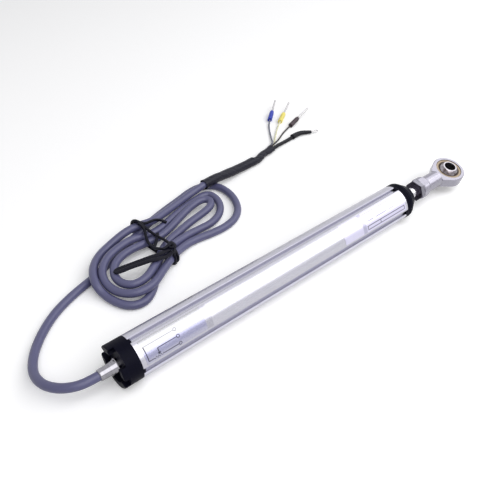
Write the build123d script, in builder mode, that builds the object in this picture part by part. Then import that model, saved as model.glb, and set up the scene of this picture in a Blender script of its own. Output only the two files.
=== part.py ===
"""Rod-type linear displacement sensor: a grooved tube, a castellated rear cap, a coned front cap,
a sliding rod with a spherical rod end, the measuring parts inside, and its cable with four leads.

Millimetres, +Z up. The sensor's axis runs along +X, from the cable to the rod end. The origin
lies on the surface that the sensor rests on, midway between the ferrule's mouth and the tip of
the rod end, with the rod pushed fully in.
"""
from build123d import *
import os
from math import acos, atan2, cos, degrees, radians, sin, tan

os.makedirs("parts", exist_ok=True)

# Fits
running_fit = 0.06
slide_fit = 0.08
press_fit = 0.02
cord_fit = 0.04
end_play = 0.15

# Tube
tube_length = 158.0
tube_diameter = 19.0
tube_bore = 14.6
groove_width = 2.2
groove_depth = 1.25
groove_count = 4
lip_width = 0.5
lip_depth = 0.35
tube_rear_x = -99.25

# Rear cap
rear_cap_length = 8.4
rear_spigot = 9.0
rim_height = 2.45
rim_wall = 2.9
slot_angles = (16.0, 112.0, 190.0, 306.0)
slot_widths = (6.0, 9.4, 4.6, 5.2)
cap_edge = 0.5
spigot_wall = 2.0
wiring_pocket = 3.0

# Front cap
band_length = 4.2
nose_length = 10.0
front_spigot = 10.0
nose_radius = 6.2
nose_edge = 0.3
band_line_insets = (1.5, 2.6)
band_line = 0.3

# Keys that hold both caps square in the tube's grooves
key_side_gap = 0.2
key_length = 0.8
key_gap = 0.1

# Seals
seal_section = 1.6
seal_squash = 1.15
seal_inset = 3.0
seal_side_gap = 0.1

# Cable ferrule
cable_diameter = 4.0
ferrule_wall = 0.45
ferrule_projection = 7.25
flange_radius = 3.4
flange_thickness = 1.2
flare_length = 2.6
flare_rise = 0.2
ferrule_tail = 6.0
tail_radius = 3.0
jacket_end_inset = 2.0

# Rod
rod_diameter = 6.0
rod_showing = 7.2
spigot_diameter = 4.0
rod_edge = 0.4

# Bush and scraper
bush_wall = 1.9
bush_length = 11.0
scraper_depth = 3.8
scraper_lip = 0.6
rod_clearance = 0.4

# Wiper carriage and its clip
carriage_length = 14.0
carriage_gap = 5.0
carriage_drop = 2.6
clip_thickness = 0.6
clip_radius = 3.2
clip_mouth = 2.4
clip_groove = 0.5

# Element, its carrier and its terminals
carrier_drop = 4.2
carrier_gap = 0.3
element_thickness = 0.8
element_width = 10.0
terminal_pitch = 2.8
terminal_radius = 0.7
terminal_height = 1.2
terminal_inset = 2.2
inner_wire_radius = 0.45
inner_wire_pitch = 1.2
inner_wire_bend = 1.2
finger_thickness = 0.25
finger_width = 1.0
finger_pitch = 1.5
finger_count = 4
finger_length = 4.0
contact_plate_length = 6.0
contact_gap = 0.1

# Lock nut
nut_flats = 10.0
nut_thickness = 3.0
nut_turn = 6.0
nut_edge = 0.4

# Rod end
eye_roll = 13.3
eye_reach = 25.8
eye_radius = 8.9
eye_thickness = 5.6
eye_edge = 0.4
shank_radius = 5.6
shank_flats = 10.0
flats_length = 3.9
neck_radius = 4.5
neck_taper = 1.6
shoulder_width = 8.2
shoulder_reach = 10.2
thread_depth = 12.0
thread_runout = 0.5
race_radius = 7.1
race_inset = 0.3
ball_diameter = 11.6
ball_width = 9.0
ball_bore = 6.0
ball_fit = 0.04

# Labels: film wrapped on the tube between the top groove and the front groove
film = 0.1
label_start_angle = 104.0
label_end_angle = 166.0
rear_label_inset = 2.0
rear_label_length = 32.0
front_label_inset = 1.5
front_label_length = 30.5

# Hank of cable
hank_height = 8.5
hank_edge = 3.2
hank_left = (-68.25, 48.5)
hank_left_radii = (26.0, 21.0)
hank_left_turn = 55.0
hank_right = (-15.95, 65.0)
hank_right_radius = 21.3
waist_centre = (-43.75, 61.5)
waist_size = (44.0, 28.0)
waist_turn = 15.0
waist_fillet = 4.0

# Tie round the hank's waist
tie_radius = 0.65
tie_cross = 9.0
tie_corner = 3.0

# Sleeves over the cable's end and over the four leads
sleeve_start = (-1.45, 83.4)
sleeve_end = (35.15, 85.1)
sleeve_wall = 0.4
sleeve_entry = 5.5
branch_start = (35.9, 85.2)
branch_end = (53.6, 89.6)
branch_exit = 4.3
branch_height = 2.14
branch_bore_radius = 1.76
branch_wall = 0.35
lead_radius = 0.5
lead_spread = 50.5
shield_radius = 1.1

# Crimped wire ends
collar_radius = 1.5
collar_nose = 1.2
collar_length = 9.2
collar_taper = 1.6
crimp_depth = 6.0
pin_radius = 0.6
pin_length = 16.0
pin_tip = 0.25
collar_tilt = 8.0
shield_sleeve_radius = 1.5
shield_sleeve_length = 8.0
sleeve_overhang = 1.0
loop_radius = 0.3
loop_width = 1.6
loop_reach = 4.8
loop_bend = 0.75

# Places along the sensor's axis
tube_front_x = tube_rear_x + tube_length
tube_radius = tube_diameter / 2
bore_radius = tube_bore / 2
axis_height = tube_radius
rim_x = tube_rear_x - rear_cap_length
recess_x = rim_x + rim_height
rim_inner = tube_radius - rim_wall
mouth_x = recess_x - flange_thickness - ferrule_projection
nose_x = tube_front_x + nose_length
spigot_fit_radius = bore_radius - press_fit
seal_floor = bore_radius - seal_squash
rod_radius = rod_diameter / 2
spigot_radius = spigot_diameter / 2
nut_x = nose_x + rod_showing
shank_x = nut_x + nut_thickness
eye_x = shank_x + eye_reach
carriage_x = tube_rear_x + rear_spigot + carriage_gap
carriage_front_x = carriage_x + carriage_length
cable_radius = cable_diameter / 2

sensor_axis = Axis((0, 0, axis_height), (1, 0, 0))
axial_plane = Plane(origin=(0, 0, axis_height), x_dir=(1, 0, 0), z_dir=(0, -1, 0))
eye_normal = (0, -sin(radians(eye_roll)), cos(radians(eye_roll)))
eye_plane = Plane(origin=(eye_x, 0, axis_height), x_dir=(1, 0, 0), z_dir=eye_normal)


def station(x):
    """Plane square to the axis at x, with its own x along +Y and its own y along +Z."""
    return Plane(origin=(x, 0, axis_height), x_dir=(0, 1, 0), z_dir=(1, 0, 0))


def section(outline):
    """Face in the axial plane inside a closed outline of (x, radius) corners."""
    with BuildSketch(axial_plane) as profile:
        with BuildLine():
            Polyline(*outline, close=True)
        make_face()
    return profile.sketch


def save(piece, name):
    """Label a finished piece and write it under its own name."""
    piece.part.label = name
    export_step(piece.part, "parts/" + name + ".step")


def bend_radii(points):
    """Radius at each inner point of a route, as large as 0.45 of the shorter run allows."""
    corners = [Vector(point) for point in points]
    radii = []
    for before, here, after in zip(corners, corners[1:], corners[2:]):
        turn = radians((here - before).get_angle(after - here))
        shorter = min((here - before).length, (after - here).length)
        radii.append(0.45 * shorter / tan(turn / 2))
    return radii


# Tube: a round extrusion with four mounting grooves and a stepped lip along each groove
with BuildPart() as tube:
    with BuildSketch(station(tube_rear_x)):
        Circle(tube_radius)
        Circle(bore_radius, mode=Mode.SUBTRACT)
        with PolarLocations(tube_radius, groove_count):
            Rectangle(2 * groove_depth, groove_width, mode=Mode.SUBTRACT)
            Rectangle(2 * lip_depth, groove_width + 2 * lip_width, mode=Mode.SUBTRACT)
    extrude(amount=tube_length)
save(tube, "tube")

# Rear cap: keyed spigot with its seal groove, body, and a castellated rim whose slots differ
rear_spigot_x = tube_rear_x + rear_spigot
rear_seal_x = tube_rear_x + seal_inset
tail_x = recess_x + ferrule_tail
key_height = groove_depth - 2 * key_gap
key_centre = tube_radius - key_gap - key_height / 2
key_width = groove_width - 2 * key_side_gap
with BuildPart() as rear_cap:
    body_outline = [
        (rim_x, rim_inner),
        (rim_x, tube_radius - cap_edge),
        (rim_x + cap_edge, tube_radius),
        (tube_rear_x, tube_radius),
        (tube_rear_x, spigot_fit_radius),
        (rear_seal_x, spigot_fit_radius),
        (rear_seal_x, seal_floor),
        (rear_seal_x + seal_section + 2 * seal_side_gap, seal_floor),
        (rear_seal_x + seal_section + 2 * seal_side_gap, spigot_fit_radius),
        (rear_spigot_x, spigot_fit_radius),
        (rear_spigot_x, spigot_fit_radius - spigot_wall),
        (rear_spigot_x - wiring_pocket, spigot_fit_radius - spigot_wall),
        (rear_spigot_x - wiring_pocket, cable_radius + cord_fit),
        (tail_x, cable_radius + cord_fit),
        (tail_x, tail_radius + press_fit),
        (recess_x, tail_radius + press_fit),
        (recess_x, rim_inner),
    ]
    revolve(section(body_outline), axis=sensor_axis)
    with BuildSketch(station(tube_rear_x)):
        with PolarLocations(key_centre, groove_count):
            Rectangle(key_height, key_width)
    extrude(amount=key_length)
    with BuildSketch(station(rim_x)):
        for slot_angle, slot_width in zip(slot_angles, slot_widths):
            with PolarLocations(tube_radius - rim_wall / 2, 1, start_angle=slot_angle):
                Rectangle(1.6 * rim_wall, slot_width)
    extrude(amount=rim_height, mode=Mode.SUBTRACT)
save(rear_cap, "rear_cap")

# Front cap: keyed spigot, band with two turned lines, cone, and a nose that holds bush and scraper
front_spigot_x = tube_front_x - front_spigot
front_seal_x = tube_front_x - seal_inset - seal_section - 2 * seal_side_gap
band_x = tube_front_x + band_length
band_line_one, band_line_two = (tube_front_x + inset for inset in band_line_insets)
bush_x = band_x - 0.6 - bush_length
bush_radius = rod_radius + bush_wall
scraper_x = nose_x - scraper_depth
with BuildPart() as front_cap:
    cap_outline = [
        (front_spigot_x, bush_radius + press_fit),
        (front_spigot_x, spigot_fit_radius),
        (front_seal_x, spigot_fit_radius),
        (front_seal_x, seal_floor),
        (front_seal_x + seal_section + 2 * seal_side_gap, seal_floor),
        (front_seal_x + seal_section + 2 * seal_side_gap, spigot_fit_radius),
        (tube_front_x, spigot_fit_radius),
        (tube_front_x, tube_radius),
        (band_line_one - band_line, tube_radius),
        (band_line_one, tube_radius - band_line),
        (band_line_one + band_line, tube_radius),
        (band_line_two - band_line, tube_radius),
        (band_line_two, tube_radius - band_line),
        (band_line_two + band_line, tube_radius),
        (band_x, tube_radius),
        (nose_x - nose_edge, nose_radius),
        (nose_x, nose_radius - nose_edge),
        (nose_x, bush_radius + press_fit),
        (scraper_x, bush_radius + press_fit),
        (scraper_x, rod_radius + rod_clearance),
        (bush_x + bush_length, rod_radius + rod_clearance),
        (bush_x + bush_length, bush_radius + press_fit),
    ]
    revolve(section(cap_outline), axis=sensor_axis)
    with BuildSketch(station(tube_front_x)):
        with PolarLocations(key_centre, groove_count):
            Rectangle(key_height, key_width)
    extrude(amount=-key_length)
save(front_cap, "front_cap")

# Seals squashed between each cap's groove and the tube's bore
for seal_name, seal_x in (("rear_o_ring", rear_seal_x), ("front_o_ring", front_seal_x)):
    with BuildPart() as o_ring:
        with BuildSketch(axial_plane) as ring_profile:
            with Locations((seal_x + seal_side_gap + seal_section / 2, bore_radius - seal_squash / 2)):
                Ellipse(seal_section / 2, seal_squash / 2 - press_fit)
        revolve(ring_profile.sketch, axis=sensor_axis)
    save(o_ring, seal_name)

# Cable ferrule: flared flange in the rim's recess, barrel outside, tail pressed into the cap
flange_x = recess_x - flange_thickness
barrel_radius = cable_radius + ferrule_wall
with BuildPart() as cable_ferrule:
    ferrule_outline = [
        (mouth_x, cable_radius + cord_fit),
        (mouth_x, barrel_radius - 0.15),
        (mouth_x + 0.3, barrel_radius),
        (flange_x - flare_length, barrel_radius + flare_rise / 2),
        (flange_x - flare_length / 2, barrel_radius + 1.5 * flare_rise),
        (flange_x, flange_radius - 0.25),
        (flange_x + 0.25, flange_radius),
        (recess_x, flange_radius),
        (recess_x, tail_radius),
        (tail_x, tail_radius),
        (tail_x, cable_radius + cord_fit),
    ]
    revolve(section(ferrule_outline), axis=sensor_axis)
save(cable_ferrule, "cable_ferrule")

# Captive end of the cable's jacket, inside the ferrule and the rear cap
jacket_x = rear_spigot_x - jacket_end_inset
with BuildPart() as cable_tail:
    with BuildSketch(station(mouth_x)):
        Circle(cable_radius)
    extrude(amount=jacket_x - mouth_x)
save(cable_tail, "cable_tail")

# Carrier: the lower segment of the bore, which holds the resistive element
carrier_x = rear_spigot_x + carrier_gap
carrier_length = front_spigot_x - rear_spigot_x - 2 * carrier_gap
inner_radius = bore_radius - slide_fit
with BuildPart() as element_carrier:
    with BuildSketch(station(carrier_x)):
        Circle(inner_radius)
        with Locations((0, -carrier_drop)):
            Rectangle(tube_bore, tube_bore, align=(Align.CENTER, Align.MIN), mode=Mode.SUBTRACT)
    extrude(amount=carrier_length)
save(element_carrier, "element_carrier")

# Resistive element: a long flat strip along the carrier
with BuildPart() as resistive_element:
    with BuildSketch(station(carrier_x)):
        with Locations((0, -carrier_drop)):
            Rectangle(element_width, element_thickness, align=(Align.CENTER, Align.MIN))
    extrude(amount=carrier_length)
save(resistive_element, "resistive_element")

# Terminals at the element's rear end
terminal_x = carrier_x + terminal_inset
element_top = axis_height - carrier_drop + element_thickness
with BuildPart() as element_terminals:
    with BuildSketch(Plane.XY.offset(element_top)):
        with Locations((terminal_x, 0)):
            with GridLocations(1, terminal_pitch, 1, 3):
                Circle(terminal_radius)
    extrude(amount=terminal_height)
save(element_terminals, "element_terminals")

# Three inner wires, from the jacket's end down onto the terminals
with BuildPart() as inner_leads:
    for wire in (-1, 0, 1):
        wire_y = wire * inner_wire_pitch
        terminal_top = (terminal_x, wire * terminal_pitch, element_top + terminal_height)
        with BuildLine() as wire_path:
            FilletPolyline(
                (jacket_x + end_play, wire_y, axis_height),
                (terminal_x, wire * terminal_pitch, axis_height),
                terminal_top,
                radius=inner_wire_bend,
            )
        with BuildSketch(Plane(origin=wire_path.line @ 1, z_dir=wire_path.line % 1)) as wire_face:
            Circle(inner_wire_radius)
        sweep(wire_face.sketch, path=wire_path.line)
save(inner_leads, "inner_leads")

# Wiper carriage: rides in the bore, flat underneath, bored for the rod's spigot
carriage_floor = axis_height - carriage_drop
with BuildPart() as wiper_carriage:
    with BuildSketch(station(carriage_x)):
        Circle(inner_radius)
        Circle(spigot_radius + running_fit, mode=Mode.SUBTRACT)
        with Locations((0, -carriage_drop)):
            Rectangle(tube_bore, tube_bore, align=(Align.CENTER, Align.MAX), mode=Mode.SUBTRACT)
    extrude(amount=carriage_length)
save(wiper_carriage, "wiper_carriage")

# Wiper contacts: a spring plate under the carriage with bent fingers just clear of the element
plate_x = carriage_x + 2
finger_x = plate_x + contact_plate_length
finger_low = element_top + contact_gap
plate_width = (finger_count - 1) * finger_pitch + finger_width
with BuildPart() as wiper_contacts:
    with BuildSketch(Plane.XY.offset(carriage_floor - finger_thickness)):
        with Locations((plate_x, 0)):
            Rectangle(contact_plate_length, plate_width, align=(Align.MIN, Align.CENTER))
    extrude(amount=finger_thickness)
    with BuildSketch(Plane.XZ) as finger_profile:
        with BuildLine():
            Polyline(
                (finger_x, carriage_floor),
                (finger_x, carriage_floor - finger_thickness),
                (finger_x + 0.75 * finger_length, finger_low),
                (finger_x + finger_length, finger_low + finger_thickness),
                (finger_x + finger_length, finger_low + 2 * finger_thickness),
                (finger_x + 0.75 * finger_length, finger_low + finger_thickness),
                close=True,
            )
        make_face()
    with GridLocations(1, finger_pitch, 1, finger_count):
        add(extrude(finger_profile.sketch, amount=finger_width / 2, both=True, mode=Mode.PRIVATE))
save(wiper_contacts, "wiper_contacts")

# Rod: plain shaft, reduced spigot through the carriage, groove for the clip behind it
clip_x = carriage_x - 0.1 - clip_thickness
rod_rear_x = clip_x - 0.8
rod_shoulder_x = carriage_front_x + end_play
rod_front_x = shank_x + thread_depth
groove_radius = spigot_radius - clip_groove
with BuildPart() as rod:
    rod_outline = [
        (rod_rear_x, 0),
        (rod_rear_x, spigot_radius - rod_edge),
        (rod_rear_x + rod_edge, spigot_radius),
        (clip_x - press_fit, spigot_radius),
        (clip_x - press_fit, groove_radius),
        (clip_x + clip_thickness + press_fit, groove_radius),
        (clip_x + clip_thickness + press_fit, spigot_radius),
        (rod_shoulder_x, spigot_radius),
        (rod_shoulder_x, rod_radius - rod_edge),
        (rod_shoulder_x + rod_edge, rod_radius),
        (rod_front_x - rod_edge, rod_radius),
        (rod_front_x, rod_radius - rod_edge),
        (rod_front_x, 0),
    ]
    revolve(section(rod_outline), axis=sensor_axis)
save(rod, "rod")

# Clip: an open ring in the spigot's groove
with BuildPart() as rod_clip:
    with BuildSketch(station(clip_x)):
        Circle(clip_radius)
        Circle(groove_radius + press_fit, mode=Mode.SUBTRACT)
        Rectangle(clip_mouth, 2 * clip_radius, align=(Align.CENTER, Align.MIN), mode=Mode.SUBTRACT)
    extrude(amount=clip_thickness)
save(rod_clip, "rod_clip")

# Bush in the front cap, and the scraper ring with its lip in the nose
with BuildPart() as rod_bush:
    with BuildSketch(station(bush_x)):
        Circle(bush_radius)
        Circle(rod_radius + running_fit, mode=Mode.SUBTRACT)
    extrude(amount=bush_length)
save(rod_bush, "rod_bush")

with BuildPart() as rod_scraper:
    scraper_outline = [
        (scraper_x, rod_radius + running_fit),
        (scraper_x, bush_radius),
        (nose_x - scraper_lip, bush_radius),
        (nose_x - scraper_lip, rod_radius + scraper_lip + running_fit),
        (nose_x, rod_radius + 2 * running_fit),
        (nose_x, rod_radius + running_fit),
    ]
    revolve(section(scraper_outline), axis=sensor_axis)
save(rod_scraper, "rod_scraper")

# Lock nut: a thin hexagon with turned corners on both faces
nut_corner = nut_flats / 2 / cos(radians(30))
with BuildPart() as lock_nut:
    with BuildSketch(station(nut_x)):
        RegularPolygon(nut_flats / 2, 6, major_radius=False, rotation=nut_turn)
        Circle(rod_radius + press_fit, mode=Mode.SUBTRACT)
    extrude(amount=nut_thickness)
    nut_outline = [
        (nut_x, 0),
        (nut_x, nut_flats / 2),
        (nut_x + nut_edge, nut_corner),
        (shank_x - nut_edge, nut_corner),
        (shank_x, nut_flats / 2),
        (shank_x, 0),
    ]
    revolve(section(nut_outline), axis=sensor_axis, mode=Mode.INTERSECT)
save(lock_nut, "lock_nut")

# Rod end housing: shank with four flats, round neck, and a flat eye with sides that taper in to it
shoulder_x = eye_x - shoulder_reach
shoulder_half = shoulder_width / 2
corner_reach = (shoulder_reach**2 + shoulder_half**2) ** 0.5
touch_angle = degrees(atan2(shoulder_half, shoulder_reach) + acos(eye_radius / corner_reach))
touch_x = -eye_radius * cos(radians(touch_angle))
touch_y = eye_radius * sin(radians(touch_angle))
flats_end_x = shank_x + flats_length
with BuildPart() as rod_end_housing:
    with BuildSketch(eye_plane) as eye_outline:
        Circle(eye_radius)
        with BuildLine():
            Polyline(
                (-shoulder_reach, -shoulder_half),
                (touch_x, -touch_y),
                (touch_x, touch_y),
                (-shoulder_reach, shoulder_half),
                close=True,
            )
        make_face()
    extrude(eye_outline.sketch, amount=eye_thickness / 2, both=True)
    eye_faces = rod_end_housing.faces().sort_by(Axis((eye_x, 0, axis_height), eye_normal))
    chamfer((eye_faces[0].edges() + eye_faces[-1].edges()).filter_by(GeomType.CIRCLE), length=eye_edge)
    shank_outline = [
        (shank_x, 0),
        (shank_x, shank_radius - eye_edge),
        (shank_x + eye_edge, shank_radius),
        (flats_end_x, shank_radius),
        (flats_end_x + neck_taper, neck_radius),
        (shoulder_x, neck_radius),
        (shoulder_x, 0),
    ]
    revolve(section(shank_outline), axis=sensor_axis)
    with BuildSketch(station(shank_x)) as flats:
        with PolarLocations(shank_flats / 2, 4, start_angle=eye_roll):
            Rectangle(shank_radius, 2 * shank_radius, align=(Align.MIN, Align.CENTER))
    extrude(flats.sketch, amount=flats_length, mode=Mode.SUBTRACT)
    with BuildSketch(station(shank_x)):
        Circle(rod_radius + press_fit)
    extrude(amount=thread_depth + thread_runout, mode=Mode.SUBTRACT)
    with BuildSketch(eye_plane):
        Circle(race_radius)
    extrude(amount=eye_thickness, both=True, mode=Mode.SUBTRACT)
save(rod_end_housing, "rod_end_housing")

# Race pressed into the eye, with a spherical seat for the ball
with BuildPart(eye_plane) as rod_end_race:
    Cylinder(race_radius - press_fit, eye_thickness - 2 * race_inset)
    Sphere(ball_diameter / 2 + ball_fit, mode=Mode.SUBTRACT)
save(rod_end_race, "rod_end_race")

# Ball with flat ends and a bore for the machine's pin
with BuildPart(eye_plane) as rod_end_ball:
    Sphere(ball_diameter / 2)
    Cylinder(ball_diameter / 2, ball_width, mode=Mode.INTERSECT)
    Cylinder(ball_bore / 2, ball_width, mode=Mode.SUBTRACT)
save(rod_end_ball, "rod_end_ball")

# Labels of thin film
label_spans = (
    ("rear_label", tube_rear_x + rear_label_inset, rear_label_length),
    ("front_label", tube_front_x - front_label_inset - front_label_length, front_label_length),
)
for label_name, label_x, label_length in label_spans:
    with BuildPart() as label:
        with BuildSketch(station(label_x)) as label_face:
            with BuildLine():
                label_sweep = label_end_angle - label_start_angle
                inner_edge = CenterArc((0, 0), tube_radius, label_start_angle, label_sweep)
                outer_edge = CenterArc((0, 0), tube_radius + film, label_start_angle, label_sweep)
                Line(inner_edge @ 0, outer_edge @ 0)
                Line(inner_edge @ 1, outer_edge @ 1)
            make_face()
        extrude(amount=label_length)
    save(label, label_name)

# Free cable from the ferrule's mouth down to the hank
cable_route = [
    (mouth_x, 0, axis_height),
    (mouth_x - 5.2, 0, axis_height),
    (-124.0, 1.9, 9.1),
    (-128.5, 5.9, 8.1),
    (-132.0, 12.9, 6.4),
    (-131.9, 22.8, 4.0),
    (-125.5, 35.0, 2.2),
    (-112.3, 47.0, 2.05),
    (-98.8, 53.2, 2.05),
    (-85.8, 57.8, 2.05),
]
with BuildPart() as cable:
    with BuildLine() as cable_path:
        FilletPolyline(*cable_route, radius=bend_radii(cable_route))
    with BuildSketch(Plane(origin=cable_path.line @ 0, z_dir=cable_path.line % 0)) as cable_face:
        Circle(cable_radius)
    sweep(cable_face.sketch, path=cable_path.line)
save(cable, "cable")
print("cable radii", [round(radius, 1) for radius in bend_radii(cable_route)])

# Path of the tie: two closed loops round the hank's waist that cross above and below
tie_centre = (waist_centre[0], waist_centre[1], hank_height / 2 + tie_radius / 2)
tie_width = waist_size[1] + 2 * tie_radius
tie_height = hank_height + tie_radius - 2 * tie_radius


def tie_loop(cross):
    """Closed path round the waist, turned by a small angle from square."""
    heading = radians(waist_turn + cross)
    loop_plane = Plane(
        origin=tie_centre,
        x_dir=(-sin(heading), cos(heading), 0),
        z_dir=(cos(heading), sin(heading), 0),
    )
    half_width = tie_width / 2 / cos(radians(cross))
    half_height = tie_height / 2
    with BuildLine(loop_plane) as loop:
        FilletPolyline(
            (-half_width, -half_height),
            (half_width, -half_height),
            (half_width, half_height),
            (-half_width, half_height),
            radius=tie_corner,
            close=True,
        )
    return loop.line


# Hank: one closed solid of the wound cable's outer shape, drawn in at the tie
with BuildPart() as cable_hank:
    with BuildSketch() as hank_outline:
        with Locations(Location((*hank_left, 0), (0, 0, hank_left_turn))):
            Ellipse(*hank_left_radii)
        with Locations(hank_right):
            Circle(hank_right_radius)
        with Locations(Location((*waist_centre, 0), (0, 0, waist_turn))):
            Rectangle(*waist_size)
        fillet(hank_outline.vertices(), radius=waist_fillet)
    extrude(amount=hank_height)
    flat_faces = cable_hank.faces().filter_by(Axis.Z)
    fillet(flat_faces.edges(), radius=hank_edge)
    for cross in (-tie_cross, tie_cross):
        tie_path = tie_loop(cross)
        with BuildSketch(Plane(origin=tie_path @ 0, z_dir=tie_path % 0)) as tie_face:
            Circle(tie_radius + press_fit)
        sweep(tie_face.sketch, path=tie_path, mode=Mode.SUBTRACT)
save(cable_hank, "cable_hank")

with BuildPart() as cable_tie:
    for cross in (-tie_cross, tie_cross):
        tie_path = tie_loop(cross)
        with BuildSketch(Plane(origin=tie_path @ 0, z_dir=tie_path % 0)) as tie_face:
            Circle(tie_radius)
        sweep(tie_face.sketch, path=tie_path)
save(cable_tie, "cable_tie")

# Straight end of the cable under its sleeve
sleeve_height = cable_radius + cord_fit + sleeve_wall
sleeve_run = Vector(*sleeve_end) - Vector(*sleeve_start)
sleeve_plane = Plane(origin=(*sleeve_start, sleeve_height), z_dir=sleeve_run)
with BuildPart() as cable_end:
    with BuildSketch(sleeve_plane.offset(-sleeve_entry)):
        Circle(cable_radius)
    extrude(amount=sleeve_run.length + sleeve_entry)
save(cable_end, "cable_end")

with BuildPart() as outer_sleeve:
    with BuildSketch(sleeve_plane):
        Circle(cable_radius + cord_fit + sleeve_wall)
        Circle(cable_radius + cord_fit, mode=Mode.SUBTRACT)
    extrude(amount=sleeve_run.length)
save(outer_sleeve, "outer_sleeve")

# Narrow sleeve round the four leads where they leave the cable
branch_run = Vector(*branch_end) - Vector(*branch_start)
branch_plane = Plane(origin=(*branch_start, branch_height), z_dir=branch_run)
with BuildPart() as branch_sleeve:
    with BuildSketch(branch_plane):
        Circle(branch_bore_radius + branch_wall)
        Circle(branch_bore_radius, mode=Mode.SUBTRACT)
    extrude(amount=branch_run.length)
save(branch_sleeve, "branch_sleeve")

# Leads: three thin ones lie against one side of the sleeve's bore and the shield's against the other
across = Vector(-branch_run.Y, branch_run.X, 0).normalized()


def bundle_points(angle, radius):
    """Both ends of a lead's stay in the sleeve, at its angle from the left and against the bore."""
    reach = branch_bore_radius - cord_fit - radius
    offset = across * (reach * cos(radians(angle))) + Vector(0, 0, reach * sin(radians(angle)))
    start = Vector(*branch_start, branch_height) + offset
    end = Vector(*branch_end, branch_height) + branch_run.normalized() * branch_exit + offset
    return [start, end]


collar_starts = {
    "blue": ((77.25, 117.8, 1.6), 39.0),
    "yellow": ((80.9, 111.7, 1.6), 32.2),
    "brown": ((82.65, 103.6, 1.6), 15.5),
}


def collar_direction(heading):
    """Unit direction of a crimped end, tilted up a little from the surface."""
    tilt = radians(collar_tilt)
    angle = radians(heading)
    return Vector(cos(angle) * cos(tilt), sin(angle) * cos(tilt), sin(tilt))


lead_middles = {
    "blue": [(63.2, 100.3, 0.9), (69.6, 109.6, 0.8)],
    "yellow": [(64.9, 98.7, 1.3), (71.7, 104.8, 0.8)],
    "brown": [(65.6, 95.8, 1.4), (73.4, 100.6, 0.8)],
}
lead_angles = {"blue": 0.0, "yellow": -lead_spread, "brown": lead_spread}

for colour, (collar_start, heading) in collar_starts.items():
    direction = collar_direction(heading)
    mouth = Vector(*collar_start)
    route = bundle_points(lead_angles[colour], lead_radius) + lead_middles[colour]
    route += [mouth - direction * 3, mouth + direction * crimp_depth]
    with BuildPart() as lead:
        with BuildLine() as lead_path:
            FilletPolyline(*route, radius=bend_radii(route))
        with BuildSketch(Plane(origin=lead_path.line @ 0, z_dir=lead_path.line % 0)) as lead_face:
            Circle(lead_radius)
        sweep(lead_face.sketch, path=lead_path.line)
    save(lead, colour + "_lead")
    print(colour, "radii", [round(radius, 1) for radius in bend_radii(route)])

    # Coloured collar, bored for the lead at its mouth and for the pin at its nose
    collar_plane = Plane(origin=mouth, z_dir=direction)
    with BuildPart() as collar:
        with BuildSketch(collar_plane):
            Circle(collar_radius)
        extrude(amount=collar_length - collar_taper)
        with BuildSketch(collar_plane.offset(collar_length - collar_taper)):
            Circle(collar_radius)
        with BuildSketch(collar_plane.offset(collar_length)):
            Circle(collar_nose)
        loft()
        with BuildSketch(collar_plane):
            Circle(lead_radius + cord_fit)
        extrude(amount=collar_length, mode=Mode.SUBTRACT)
    save(collar, colour + "_collar")

    # Crimped metal pin, from the lead's end to its tip
    pin_start = collar_plane.offset(crimp_depth)
    with BuildPart() as pin:
        with BuildSketch(pin_start):
            Circle(lead_radius)
        extrude(amount=collar_length - crimp_depth)
        with BuildSketch(collar_plane.offset(collar_length)):
            Circle(pin_radius)
        extrude(amount=pin_length - (collar_length - crimp_depth))
        chamfer(pin.faces().sort_by(Axis(mouth, direction))[-1].edges(), length=pin_tip)
    save(pin, colour + "_pin")

# Shield's lead in its own cover, with a second sleeve on its end
shield_route = bundle_points(180.0, shield_radius)
shield_route += [(65.6, 91.2, 1.3), (72.3, 91.9, 1.54), (79.2, 92.6, 1.56)]
with BuildPart() as shield_lead:
    with BuildLine() as shield_path:
        FilletPolyline(*shield_route, radius=bend_radii(shield_route))
    with BuildSketch(Plane(origin=shield_path.line @ 0, z_dir=shield_path.line % 0)) as shield_face:
        Circle(shield_radius)
    sweep(shield_face.sketch, path=shield_path.line)
save(shield_lead, "shield_lead")
print("shield radii", [round(radius, 1) for radius in bend_radii(shield_route)])

shield_heading = (Vector(*shield_route[-1]) - Vector(*shield_route[-2])).normalized()
shield_left = Vector(-shield_heading.Y, shield_heading.X, 0).normalized()
shield_end = Plane(origin=shield_route[-1], x_dir=shield_left, z_dir=shield_heading)
with BuildPart() as shield_sleeve:
    with BuildSketch(shield_end.offset(sleeve_overhang)):
        Circle(shield_sleeve_radius)
        Circle(shield_radius + cord_fit, mode=Mode.SUBTRACT)
    extrude(amount=-shield_sleeve_length)
save(shield_sleeve, "shield_sleeve")

# Bare end of the shield, a wire turned back on itself against the lead's end
loop_plane = Plane(
    origin=shield_end.origin, x_dir=shield_heading, z_dir=shield_heading.cross(shield_left)
)
with BuildPart() as shield_tip:
    with BuildLine(loop_plane) as loop_path:
        FilletPolyline(
            (0, -loop_width / 2),
            (loop_reach, -loop_width / 2),
            (loop_reach, loop_width / 2),
            (0, loop_width / 2),
            radius=loop_bend,
        )
    with BuildSketch(Plane(origin=loop_path.line @ 0, z_dir=loop_path.line % 0)) as loop_face:
        Circle(loop_radius)
    sweep(loop_face.sketch, path=loop_path.line)
save(shield_tip, "shield_tip")
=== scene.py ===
"""Looks of a rod-type linear displacement sensor with a hanked cable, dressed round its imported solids.

Metres, in the frame of the solids: the sensor's axis runs along +X from the cable to the rod end,
+Z is up, and the sensor and its cable lie on the surface at z = 0.
"""

import logging
import math
from dataclasses import dataclass
from enum import Enum
from typing import ClassVar, Dict, List, Optional, Sequence, Tuple, Union

import bpy
import numpy as np
from mathutils import Matrix, Vector


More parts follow.
